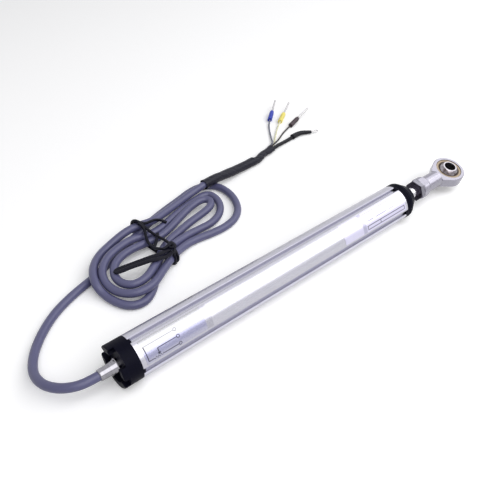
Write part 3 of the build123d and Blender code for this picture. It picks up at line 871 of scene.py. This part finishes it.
@dataclass(frozen=True)
class Settling:
    """How the turns of a hank push each other apart until they lie side by side and on each other.

    The line is parabolas through the middles of neighbouring control points, as in the cord's
    spline. In each round every two places on it that are too close are pushed apart by half of
    what is missing, more in height than along the surface, and what is too low is lifted. The
    control points follow their share of those pushes, and are drawn back a little to where they
    began and towards the shift of their neighbours.
    """

    gap: float = 4.12
    apart_along: float = 9.0
    watch: float = 9.0
    samples: int = 8
    rounds: int = 900
    rate: float = 0.5
    gain: float = 1.6
    most: float = 0.3
    lift: float = 1.25
    smooth: float = 0.10
    pull: Point = (0.022, 0.022, 0.006)
    floor: float = 2.03
    tie_from: Span = (-52.5, 72.0)
    tie_to: Span = (-49.0, 42.0)
    tie_room: float = 1.45
    tie_reach: Span = (3.0, 9.0)

    def shares(self, count: int) -> np.ndarray:
        """Weight of each control point at each sample of the line.

        Args:
            count: Number of control points.

        Returns:
            One row for each sample, one column for each control point.
        """
        eye = np.eye(count)
        middles = 0.5 * (eye[:-1] + eye[1:])
        middles[0], middles[-1] = eye[0], eye[-1]
        step = (np.arange(self.samples) / self.samples)[:, None, None]
        rows = (1 - step) ** 2 * middles[:-1] + 2 * step * (1 - step) * eye[1:-1] + step**2 * middles[1:]
        return np.vstack([rows.transpose(1, 0, 2).reshape(-1, count), eye[-1:]])

    def lowest(self, line: np.ndarray) -> np.ndarray:
        """Least height of each sample: the surface's, raised where the tie passes beneath."""
        start, end = np.array(self.tie_from), np.array(self.tie_to)
        run = end - start
        share = np.clip((line[:, :2] - start) @ run / (run @ run), 0.0, 1.0)
        away = np.linalg.norm(line[:, :2] - (start + share[:, None] * run), axis=1)
        near, far = self.tie_reach
        return self.floor + self.tie_room * np.clip((far - away) / (far - near), 0.0, 1.0)

    def settled(self, points: np.ndarray, held: int) -> np.ndarray:
        """Control points of the settled turns.

        Args:
            points: Control points in millimetres, one row each.
            held: How many of the first points stay where they are.

        Returns:
            The moved control points.
        """
        weights = self.shares(len(points))
        share = (weights / weights.sum(axis=0)).T
        line = weights @ points
        reach = np.concatenate(([0.0], np.cumsum(np.linalg.norm(np.diff(line, axis=0), axis=1))))
        first, second = np.triu_indices(len(line), 1)
        watched = np.abs(reach[first] - reach[second]) > self.apart_along
        watched &= np.linalg.norm(line[first] - line[second], axis=1) < self.watch
        first, second = first[watched], second[watched]
        moved = points.copy()
        for _ in range(self.rounds):
            line = weights @ moved
            between = line[first] - line[second]
            distance = np.linalg.norm(between, axis=1)
            close = distance < self.gap
            one, other = first[close], second[close]
            push = between[close] * ((self.gap - distance[close]) / distance[close])[:, None]
            push *= (1.0, 1.0, self.lift)
            met = np.bincount(one, minlength=len(line)) + np.bincount(other, minlength=len(line))
            force = np.zeros_like(line)
            np.add.at(force, one, push)
            np.subtract.at(force, other, push)
            force *= 0.5 / np.maximum(met, 1)[:, None]
            force[:, 2] += np.maximum(self.lowest(line) - line[:, 2], 0.0)
            shift = moved - points
            bend = np.zeros_like(shift)
            bend[1:-1] = shift[:-2] + shift[2:] - 2.0 * shift[1:-1]
            step = share @ force * self.gain - shift * self.pull + bend * self.smooth
            step[:held] = 0.0
            moved += np.clip(step * self.rate, -self.most, self.most)
        return moved


@dataclass(frozen=True)
class CreasedSleeve:
    """Thin-walled tubing shrunk over a line, lumpy and creased, open at both ends.

    Its radius is the base radius, plus slow swellings along it, plus three-sided lumps that
    turn with the length, less narrow creases that wind round it.
    """

    name: str
    radius: float
    wall: float
    look: Look
    swell: float
    lump: float
    crease: float
    crease_pitch: float
    flatten: float
    flare: float
    taper: float = 0.0
    sides: int = 40
    step: float = 0.30
    swells: Tuple[Point, ...] = ((1.0, 3.1, 0.7), (0.6, 1.7, 2.0))
    lump_sides: float = 3.0
    lump_turn: float = 2.3
    lump_fade: float = 4.7
    crease_phases: Point = (0.0, 2.4, 4.4)
    crease_width: float = 0.22
    crease_mean: float = 0.55
    crease_fade: float = 2.9
    flare_reach: float = 1.2
    least_inside: float = 0.3

    def build(self, line: np.ndarray) -> bpy.types.Object:
        """Make the sleeve on the housing, along a line.

        Args:
            line: Points along its middle, in metres.

        Returns:
            The sleeve's object.
        """
        reach = length_of(line) / MM
        count = int(reach / self.step)
        middle = resampled(line, count)
        along = np.linspace(0.0, reach, count)[:, None]
        angle = np.linspace(0.0, 2.0 * np.pi, self.sides, endpoint=False)[None]
        swell = sum(share * np.sin(along / length + phase) for share, length, phase in self.swells)
        lump = np.sin(self.lump_sides * angle + along / self.lump_turn) * np.cos(along / self.lump_fade)
        radius = self.radius + self.swell * swell + self.lump * lump
        for phase in self.crease_phases:
            gap = np.angle(np.exp(1j * (angle - 2.0 * np.pi * along / self.crease_pitch - phase)))
            depth = self.crease_mean + (1.0 - self.crease_mean) * np.sin(along / self.crease_fade + phase)
            radius = radius - self.crease * np.exp(-((gap / self.crease_width) ** 2)) * depth
        radius = radius + self.flare * np.exp(-along / self.flare_reach)
        radius = radius * (1.0 - self.taper * (along / reach) ** 2)
        inside = np.maximum(radius - self.wall, self.least_inside)
        wide = (1.0 + self.flatten) * MM * np.cos(angle)
        tall = (1.0 - self.flatten) * MM * np.sin(angle)
        outer, inner = (tube_rings(middle, size * wide, size * tall) for size in (radius, inside))
        return loft(self.name, np.concatenate([outer, inner[::-1]]), self.look, "housing", True)


@dataclass
class Cable:
    """Grey cable from the ferrule down to the surface, wound to a tied hank, then out to its sleeve."""

    radius: float = 2.0 * MM
    jacket: Look = Look.JACKET
    sleeve_reach: float = 40.9 * MM
    sleeve_points: int = 200
    sleeve: CreasedSleeve = CreasedSleeve(
        "outer_cover", 2.62, 0.42, Look.SLEEVE, swell=0.05, lump=0.06,
        crease=0.13, crease_pitch=17.0, flatten=0.04, flare=0.25,
    )
    branch: CreasedSleeve = CreasedSleeve(
        "branch_cover", 2.16, 0.35, Look.SLEEVE, swell=0.13, lump=0.12,
        crease=0.34, crease_pitch=12.0, flatten=0.06, flare=0.10,
    )

    free_run: Tuple[Point, ...] = (
        (-113.7, 0.0, 9.5), (-118.8, 0.0, 9.5), (-124.0, 1.9, 9.1), (-128.5, 5.9, 8.1),
        (-132.0, 12.9, 6.4), (-131.9, 22.8, 4.0), (-125.5, 35.0, 2.2), (-112.3, 47.0, 2.05),
        (-98.8, 53.2, 2.05),
    )
    under_run: Tuple[Point, ...] = (
        (-87.5, 56.5, 2.05), (-80.8, 59.0, 2.05), (-73.3, 62.7, 2.05), (-65.2, 65.5, 2.5),
        (-56.1, 68.7, 3.4), (-47.1, 72.7, 3.4), (-38.7, 76.2, 2.8), (-30.5, 79.2, 2.3),
        (-21.3, 81.7, 2.05), (-11.5, 84.6, 2.05),
    )
    right_outer: Tuple[Point, ...] = (
        (-4.4, 84.9, 2.05), (1.8, 82.3, 2.05), (5.2, 76.0, 2.05), (5.0, 66.9, 2.05),
        (1.3, 57.2, 2.05), (-5.3, 50.5, 2.05), (-14.1, 47.8, 2.05), (-23.0, 48.1, 2.05),
        (-31.0, 49.5, 2.05), (-37.9, 49.3, 2.6), (-44.8, 46.9, 3.5),
    )
    left_middle: Tuple[Point, ...] = (
        (-51.8, 43.0, 4.6), (-60.7, 37.1, 5.4), (-67.0, 32.7, 5.8), (-72.5, 31.4, 5.6),
        (-78.6, 33.1, 4.8), (-83.4, 39.4, 4.0), (-84.9, 47.2, 4.2), (-83.2, 53.9, 5.6),
        (-77.2, 60.2, 6.1), (-68.4, 63.7, 6.1), (-59.9, 65.5, 5.6), (-52.0, 65.2, 3.6),
    )
    right_middle: Tuple[Point, ...] = (
        (-44.3, 65.2, 3.5), (-36.0, 68.0, 3.5), (-25.9, 72.0, 3.2), (-15.1, 75.0, 3.0),
        (-6.3, 76.0, 3.0), (-3.9, 71.6, 3.0), (-5.5, 63.8, 2.6), (-10.7, 57.7, 2.05),
        (-18.5, 54.1, 2.05), (-26.6, 54.0, 2.05), (-35.3, 53.2, 2.6), (-43.7, 51.0, 3.5),
    )
    left_inner: Tuple[Point, ...] = (
        (-53.9, 46.9, 5.4), (-62.5, 40.6, 6.6), (-68.2, 37.0, 6.6), (-72.7, 36.2, 6.4),
        (-77.0, 37.6, 6.0), (-79.6, 42.4, 5.4), (-79.6, 48.2, 5.6), (-76.6, 53.6, 6.1),
        (-71.0, 57.4, 6.3), (-62.6, 59.6, 5.6), (-54.8, 60.8, 3.8),
    )
    right_inner: Tuple[Point, ...] = (
        (-47.2, 60.9, 3.5), (-38.7, 63.6, 3.5), (-29.7, 67.6, 4.0), (-19.9, 70.6, 4.8),
        (-12.4, 71.2, 5.2), (-9.4, 67.6, 5.2), (-12.6, 63.0, 5.0), (-20.5, 61.6, 4.2),
        (-28.9, 60.2, 3.8), (-37.6, 57.6, 3.5), (-44.8, 55.2, 3.4),
    )
    left_outer: Tuple[Point, ...] = (
        (-51.7, 51.1, 3.4), (-59.5, 43.5, 2.05), (-66.9, 34.0, 2.05), (-74.4, 28.4, 2.05),
        (-81.5, 29.6, 2.05), (-85.9, 36.5, 2.05), (-87.8, 44.1, 2.6), (-88.7, 49.2, 5.6),
        (-85.7, 57.5, 6.2), (-78.9, 65.4, 5.2), (-69.9, 69.6, 5.0), (-59.9, 71.0, 7.3),
        (-52.4, 70.6, 7.9),
    )
    way_out: Tuple[Point, ...] = (
        (-45.3, 69.3, 7.5), (-37.7, 71.9, 6.4), (-30.0, 74.6, 5.6), (-20.2, 77.4, 5.2),
        (-12.4, 78.6, 6.0), (-5.0, 79.4, 6.8), (3.5, 80.6, 6.7), (14.0, 82.4, 4.6),
        (24.5, 84.2, 3.0), (35.4, 85.2, 2.75),
    )
    branch_points: Tuple[Point, ...] = (
        (34.6, 84.9, 2.6), (38.6, 85.0, 2.4), (42.3, 86.5, 2.3), (46.4, 88.3, 2.35),
        (50.2, 88.6, 2.25), (54.0, 89.7, 2.2),
    )
    settling: Settling = Settling()

    def points(self) -> List[Point]:
        """Every control point, in the order that the cable was wound, with the turns settled."""
        turns = (
            self.free_run, self.under_run, self.right_outer, self.left_middle, self.right_middle,
            self.left_inner, self.right_inner, self.left_outer, self.way_out,
        )
        wound = np.array([point for turn in turns for point in turn])
        return [tuple(point) for point in self.settling.settled(wound, len(self.free_run)).tolist()]

    def build(self) -> None:
        """Lay the cable in place of its three plain solids, with its two sleeves."""
        cable = lay_cord("grey_cable", self.points(), self.radius, self.jacket)
        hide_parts("cable", "cable_hank", "cable_end")
        line = line_of(cable.data)
        whole = length_of(line)
        tail = resampled(line, self.sleeve_points, whole - self.sleeve_reach)
        outer = self.sleeve.build(tail)
        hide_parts("outer_sleeve")
        branch = self.branch.build(line_of(nurbs("branch_line", self.branch_points)))
        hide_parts("branch_sleeve")


@dataclass
class Tie:
    """Thin black tie twice round the hank's waist, knotted, with its flat end folded into the loop."""

    radius: float = 0.72 * MM
    look: Look = Look.TIE
    tape_half_width: float = 1.20 * MM
    tape_half_height: float = 0.34 * MM
    tape_squareness: float = 0.6
    tape_steps: int = 120
    tape_sides: int = 20
    cross_share: float = 0.62
    wraps: Tuple[Point, ...] = (
        (-38.7, 65.9, 5.9), (-40.0, 68.0, 6.6), (-43.4, 68.0, 8.9), (-46.6, 67.7, 9.6), (-49.8, 67.7, 9.6),
        (-52.0, 69.2, 10.6), (-52.6, 71.6, 10.6), (-52.8, 73.4, 8.6), (-52.7, 73.6, 5.6), (-52.6, 73.2, 2.4),
        (-52.4, 71.0, 0.8), (-52.0, 66.0, 0.78), (-50.8, 56.0, 0.78), (-49.6, 47.5, 0.78), (-49.0, 43.6, 0.8),
        (-48.7, 41.9, 1.9), (-48.5, 41.4, 4.4), (-48.7, 42.4, 6.9), (-48.3, 45.2, 8.0), (-48.4, 48.2, 8.8),
        (-48.0, 51.8, 7.6), (-48.0, 54.8, 6.9), (-49.3, 59.3, 7.0), (-50.2, 63.6, 7.6), (-51.3, 66.9, 9.4),
        (-52.9, 69.4, 11.7), (-53.9, 71.9, 11.3), (-54.4, 73.7, 8.8), (-54.4, 73.8, 5.4), (-54.2, 73.2, 2.2),
        (-54.0, 71.0, 0.8), (-53.6, 66.0, 0.78), (-52.4, 56.0, 0.78), (-51.3, 46.9, 0.78), (-50.9, 42.8, 0.8),
        (-50.7, 41.0, 1.9), (-50.6, 40.5, 4.6), (-50.6, 41.4, 7.2), (-49.6, 43.2, 8.9), (-47.6, 44.6, 8.9),
        (-47.0, 46.6, 8.8), (-48.4, 47.8, 9.9), (-50.6, 46.4, 10.2), (-50.6, 44.2, 9.6), (-48.8, 43.6, 10.2),
        (-48.4, 45.6, 10.4), (-50.6, 46.0, 10.2), (-53.6, 45.2, 10.0), (-55.2, 48.0, 9.2), (-55.4, 52.2, 7.2),
        (-55.1, 57.4, 6.6), (-53.6, 61.8, 7.4), (-52.2, 65.0, 8.4), (-51.9, 67.2, 9.8), (-53.4, 68.6, 11.2),
    )
    cross: Tuple[Point, ...] = (
        (-47.6, 60.6, 6.9), (-48.6, 58.8, 6.9), (-50.0, 57.2, 6.9), (-52.0, 55.4, 6.6), (-54.0, 53.2, 6.6),
        (-55.6, 51.4, 7.4),
    )
    tape: Tuple[Point, ...] = (
        (-50.6, 44.4, 9.2), (-54.2, 43.6, 9.8), (-58.4, 43.4, 10.3), (-62.2, 44.8, 9.8), (-66.2, 46.2, 9.1),
        (-70.6, 47.3, 8.7), (-74.6, 48.2, 8.5), (-77.8, 48.6, 8.3), (-79.0, 47.4, 8.4), (-77.0, 46.2, 8.6),
        (-72.4, 45.4, 9.0), (-67.8, 43.8, 9.6), (-63.4, 42.0, 10.5), (-58.8, 40.8, 10.1), (-54.6, 41.0, 9.0),
        (-51.0, 42.4, 8.9),
    )

    def strip(self, name: str, points: Tuple[Point, ...], share: float) -> bpy.types.Object:
        """Flat tape along a smooth line: a squared oval section carried along it.

        Across and up, the section is a half size times the cosine or sine of the angle, whose
        size is raised to the squareness and whose sign is kept.

        Args:
            name: The piece's name.
            points: Control points in millimetres.
            share: Width as a share of the tape's own.

        Returns:
            The strip.
        """
        middle = resampled(line_of(nurbs(name + "_line", points)), self.tape_steps)
        angle = np.linspace(0.0, 2.0 * np.pi, self.tape_sides, endpoint=False)
        turns = np.stack([np.cos(angle), np.sin(angle)])
        sizes = np.array([[self.tape_half_width * share], [self.tape_half_height]])
        section = sizes * np.sign(turns) * np.abs(turns) ** self.tape_squareness
        across, rise = (np.tile(offset, (self.tape_steps, 1)) for offset in section)
        return loft(name, tube_rings(middle, across, rise), self.look, "housing", False)

    def build(self) -> None:
        """Wind the tie round the hank's waist."""
        tie = lay_cord("waist_tie", self.wraps, self.radius, self.look)
        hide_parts("cable_tie")
        ends = [self.strip("tie_tape", self.tape, 1.0), self.strip("tie_cross", self.cross, self.cross_share)]
        round(length_of(line_of(tie.data)), 3)


@dataclass(frozen=True)
class LeadRun:
    """Route, thickness and finishes of one lead."""

    name: str
    points: Tuple[Point, ...]
    radius: float
    wire: Look
    slot: str
    collar: Optional[Look] = None


@dataclass
class Leads:
    """Three thin leads with crimped pins, and the shield's thicker covered lead with its bare loop."""

    runs: Tuple[LeadRun, ...] = (
        LeadRun(
            "blue",
            ((35.606, 86.384, 2.14), (57.479, 91.821, 2.14), (63.2, 100.3, 0.9), (69.6, 109.6, 0.8),
             (74.94, 115.93, 1.18), (81.87, 121.54, 2.44)),
            0.5 * MM, Look.BLUE_WIRE, "blue_insulation", Look.BLUE_COLLAR,
        ),
        LeadRun(
            "yellow",
            ((35.713, 85.953, 1.199), (57.586, 91.390, 1.199), (64.9, 98.7, 1.3), (71.7, 104.8, 0.8),
             (78.39, 110.12, 1.18), (85.93, 114.87, 2.44)),
            0.5 * MM, Look.YELLOW_WIRE, "yellow_insulation", Look.YELLOW_COLLAR,
        ),
        LeadRun(
            "brown",
            ((35.713, 85.953, 3.081), (57.586, 91.390, 3.081), (65.6, 95.8, 1.4), (73.4, 100.6, 0.8),
             (79.79, 102.81, 1.18), (88.38, 105.19, 2.44)),
            0.5 * MM, Look.BROWN_WIRE, "brown_insulation", Look.BROWN_COLLAR,
        ),
        LeadRun(
            "shield",
            ((36.05, 84.598, 2.14), (57.923, 90.035, 2.14), (65.6, 91.2, 1.3), (72.3, 91.9, 1.54),
             (79.2, 92.6, 1.56)),
            1.1 * MM, Look.LEAD_SLEEVE, "shrink_sleeve",
        ),
    )
    shield_cover: CreasedSleeve = CreasedSleeve(
        "shield_cover", 1.55, 0.40, Look.LEAD_SLEEVE, swell=0.08, lump=0.06,
        crease=0.10, crease_pitch=14.0, flatten=0.05, flare=0.05, taper=0.30,
    )
    cover_points: Tuple[Point, ...] = (
        (73.6, 91.95, 1.75), (76.8, 92.5, 1.95), (80.8, 92.5, 1.85), (84.4, 91.2, 1.65), (87.6, 89.4, 1.45),
    )
    loop_points: Tuple[Point, ...] = (
        (85.6, 90.7, 1.5), (88.6, 88.4, 1.5), (91.0, 87.4, 1.4), (92.4, 88.0, 1.3), (92.0, 89.4, 1.3),
        (89.6, 89.6, 1.4), (86.2, 90.6, 1.5),
    )
    loop_radius: float = 0.3 * MM

    def build(self) -> None:
        """Lay the four leads and dress what is crimped on them."""
        for run in self.runs:
            lead = lay_cord(run.name + "_wire", run.points, run.radius, run.wire)
            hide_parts(run.name + "_lead")
            if run.collar:
                dress(run.name + "_collar", run.collar)
                dress(run.name + "_pin", Look.TINNED)
            else:
                cover = self.shield_cover.build(line_of(nurbs("cover_line", self.cover_points)))
                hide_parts("shield_sleeve")
                loop = lay_cord("shield_loop", self.loop_points, self.loop_radius, Look.TINNED)
                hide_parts("shield_tip")
            start = run.points[0]
            start[0] * MM
            start[1] * MM
            start[2] * MM
            round(length_of(line_of(lead.data)), 4)


@dataclass
class Housing:
    """Grooved tube with its two caps, seals, ferrule and labels."""

    film_radius: float = 9.58
    film_back: float = 9.505
    film_angles: Span = (104.0, 166.0)
    film_from: float = 13.2
    film_to: float = 26.72
    film_sides: int = 40
    film_steps: int = 10
    looks: Tuple[Tuple[str, Look], ...] = (
        ("tube", Look.ALUMINIUM),
        ("rear_cap", Look.CAP),
        ("front_cap", Look.CAP),
        ("cable_ferrule", Look.NICKEL),
        ("rod_bush", Look.BUSH),
        ("rod_scraper", Look.SEAL),
        ("front_o_ring", Look.SEAL),
        ("rear_o_ring", Look.SEAL),
        ("rear_label", Look.REAR_LABEL),
        ("front_label", Look.FRONT_LABEL),
    )

    def margin(self) -> None:
        """Blank end of the front label's film: an arc with a small thickness, carried along the axis."""
        turn = np.radians(np.linspace(*self.film_angles, self.film_sides))
        radius = np.repeat([self.film_radius, self.film_back], self.film_sides)
        turn = np.concatenate([turn, turn[::-1]])
        along = np.linspace(self.film_from, self.film_to, self.film_steps)[:, None] * np.ones((1, len(turn)))
        side = np.broadcast_to(radius * np.cos(turn), along.shape)
        height = np.broadcast_to(AXIS_HEIGHT + radius * np.sin(turn), along.shape)
        rings = np.stack([along, side, height], axis=-1) * MM
        film = loft("label_margin", rings, Look.FRONT_LABEL, "housing", False)

    def build(self) -> None:
        """Dress the housing's solids."""
        for node, look in self.looks:
            dress(node, look)
        self.margin()


@dataclass
class Measuring:
    """Element, wiper and wiring inside the tube."""

    looks: Tuple[Tuple[str, Look], ...] = (
        ("element_carrier", Look.CARRIER),
        ("resistive_element", Look.TRACK),
        ("element_terminals", Look.TINNED),
        ("inner_leads", Look.INNER_WIRE),
        ("cable_tail", Look.JACKET),
        ("wiper_carriage", Look.CARRIAGE),
        ("wiper_contacts", Look.CONTACT),
    )

    def build(self) -> None:
        """Dress the measuring pieces."""
        for node, look in self.looks:
            dress(node, look)


@dataclass(frozen=True)
class EyeHalf:
    """Upper half of the rod end's flat eye, from its middle plane up to its top face.

    Its outline is a circle, with two straight sides that touch it and run in to the shoulder
    where the neck ends. The section is a rectangle from the bore to the outline, with its outer
    top corner cut off along the circle, and it is carried once round the eye's own axis.
    """

    radius: float = 8.9
    bore: float = 7.1
    top: float = 2.8
    edge: float = 0.4
    shoulder_edge: float = 0.02
    shoulder_reach: float = 10.2
    shoulder_half: float = 4.1
    steps: int = 180
    widest_end: float = 0.1

    def outline(self) -> Tuple[np.ndarray, np.ndarray, np.ndarray]:
        """Angles from the shoulder's direction, and the outline's distance and cut edge at each.

        Returns:
            Angles in radians, distances in millimetres and edge sizes in millimetres.
        """
        corner = math.atan2(self.shoulder_half, self.shoulder_reach)
        touch = corner + math.acos(self.radius / math.hypot(self.shoulder_half, self.shoulder_reach))
        spaced = np.linspace(-np.pi, np.pi, self.steps, endpoint=False)
        angle = np.unique(np.concatenate([spaced, (-touch, -corner, corner, touch)]))
        side = self.radius / np.cos(np.maximum(touch - np.abs(angle), 0.0))
        end = self.shoulder_reach / np.maximum(np.cos(angle), self.widest_end)
        edge = np.where(np.abs(angle) >= touch, self.edge, self.shoulder_edge)
        return angle, np.minimum(side, end), edge

    def build(self) -> None:
        """Make the half eye on top of the housing's lower one."""
        angle, outer, edge = self.outline()
        bore, top, zero = np.full_like(angle, self.bore), np.full_like(angle, self.top), np.zeros_like(angle)
        reach = np.stack([bore, outer - edge, outer, outer, bore], axis=1)
        height = np.stack([top, top, top - edge, zero, zero], axis=1)
        forward = -reach * np.cos(angle)[:, None]
        across = -reach * np.sin(angle)[:, None]
        lean, level = math.sin(EYE_ROLL), math.cos(EYE_ROLL)
        rings = np.stack([forward, across * level - height * lean, across * lean + height * level], axis=-1)
        half = loft("eye_upper_half", (rings + EYE_CENTRE) * MM, Look.ZINC, "rod_assembly", True)


@dataclass
class RodAssembly:
    """Sliding rod with its clip, lock nut and spherical rod end."""

    eye: EyeHalf = EyeHalf()
    looks: Tuple[Tuple[str, Look], ...] = (
        ("rod", Look.ROD),
        ("rod_clip", Look.ZINC),
        ("lock_nut", Look.NUT),
        ("rod_end_housing", Look.ZINC),
        ("rod_end_race", Look.RACE),
        ("rod_end_ball", Look.BALL),
    )

    def build(self) -> None:
        """Dress the rod's pieces and complete the eye."""
        for node, look in self.looks:
            dress(node, look)
        self.eye.build()


@dataclass(frozen=True)
class Lamp:
    """Soft rectangular lamp: its middle and what it faces in metres, its size, and its power in watts."""

    name: str
    place: Point
    aim: Point
    size: Span
    power: float

    def build(self) -> None:
        """Hang the lamp."""
        data = bpy.data.lights.new(self.name, "AREA")
        data.shape = "RECTANGLE"
        data.size, data.size_y = self.size
        data.energy = self.power
        light = bpy.data.objects.new(self.name, data)
        light.location = self.place
        light.rotation_euler = (Vector(self.aim) - Vector(self.place)).to_track_quat("-Z", "Y").to_euler()
        bpy.context.collection.objects.link(light)


@dataclass
class Studio:
    """Pale surface, soft lamps and the camera."""

    focal_pixels: float = 600.0
    image_pixels: float = 488.0
    sensor_width: float = 36.0
    camera_place: Point = (-160.76, -144.19, 196.77)
    forward: Point = (0.4832, 0.58586, -0.6506)
    right: Point = (0.77146, -0.63628, 0.0)
    clip: Span = (0.01, 20.0)
    lamps: Tuple[Lamp, ...] = (
        Lamp("overhead", (0.30, -0.424, 0.688), (0.30, 0.0, 0.0095), (1.6, 0.95), 9.4),
        Lamp("far_end", (0.715, 0.115, 0.53), (0.10, 0.0, 0.01), (0.42, 0.36), 0.5),
    )
    room_light: float = 0.34
    sky: Colour = (0.97, 0.97, 1.0)
    floor_reach: float = 3.0
    floor_rough: float = 0.9
    floor_lit: Colour = (0.80, 0.80, 0.82)
    floor_seen: Colour = (1.0, 1.0, 1.0)
    floor_glow: Colour = (0.13, 0.13, 0.13)

    def camera(self) -> None:
        """Place the camera at the photograph's view."""
        data = bpy.data.cameras.new("view")
        data.sensor_width = self.sensor_width
        data.lens = self.focal_pixels / self.image_pixels * self.sensor_width
        data.clip_start, data.clip_end = self.clip
        forward = Vector(self.forward).normalized()
        right = Vector(self.right).normalized()
        up = right.cross(forward)
        turned = Matrix((right, up, -forward)).transposed().to_4x4()
        turned.translation = Vector(self.camera_place) * MM
        camera = bpy.data.objects.new("view", data)
        camera.matrix_world = turned
        bpy.context.collection.objects.link(camera)
        bpy.context.scene.camera = camera

    def floor(self) -> None:
        """Wide pale floor that shows white to the camera and keeps the object's shadow."""
        bench = bench_for("pale_floor")
        path = bench.node("ShaderNodeLightPath")
        camera, glossy = (Signal(bench, path.outputs[name]) for name in ("Is Camera Ray", "Is Glossy Ray"))
        seen = bench.math("MAXIMUM", camera, glossy)
        mesh = bpy.data.meshes.new("floor")
        reach = self.floor_reach
        corners = [(-reach, -reach, 0.0), (reach, -reach, 0.0), (reach, reach, 0.0), (-reach, reach, 0.0)]
        mesh.from_pydata(corners, [], [(0, 1, 2, 3)])
        white = bench.finish(
            Base_Color=bench.mix(seen, self.floor_lit, self.floor_seen),
            Roughness=self.floor_rough,
            Specular_IOR_Level=0.0,
            Emission_Color=bench.mix(camera, (0.0, 0.0, 0.0), self.floor_glow),
            Emission_Strength=1.0,
        )
        mesh.materials.append(white)
        floor = bpy.data.objects.new("floor", mesh)
        bpy.context.collection.objects.link(floor)

    def world(self) -> None:
        """Even pale surroundings, white to the camera and in reflections."""
        world = bpy.data.worlds.new("studio")
        bench = Bench(world)
        path = bench.node("ShaderNodeLightPath")
        names = ("Is Camera Ray", "Is Glossy Ray", "Is Transmission Ray")
        camera, glossy, through = (Signal(bench, path.outputs[name]) for name in names)
        seen = bench.math("MAXIMUM", bench.math("MAXIMUM", camera, glossy), through)
        strength = seen * (1.0 - self.room_light) + self.room_light
        background = bench.node("ShaderNodeBackground", {"Color": self.sky, "Strength": strength})
        bench.node("ShaderNodeOutputWorld", {0: background.outputs[0]})
        bpy.context.scene.world = world

    def build(self) -> None:
        """Set up the whole studio."""
        self.camera()
        for lamp in self.lamps:
            lamp.build()
        self.floor()
        self.world()
        bpy.context.scene.view_settings.view_transform = "Standard"


def main() -> None:
    """Build every sub-assembly in order."""
    logging.basicConfig(level=logging.INFO)
    Studio().build()
    Cable().build()
    Leads().build()
    Tie().build()
    Housing().build()
    Measuring().build()
    RodAssembly().build()


if __name__ == "__main__":
    main()
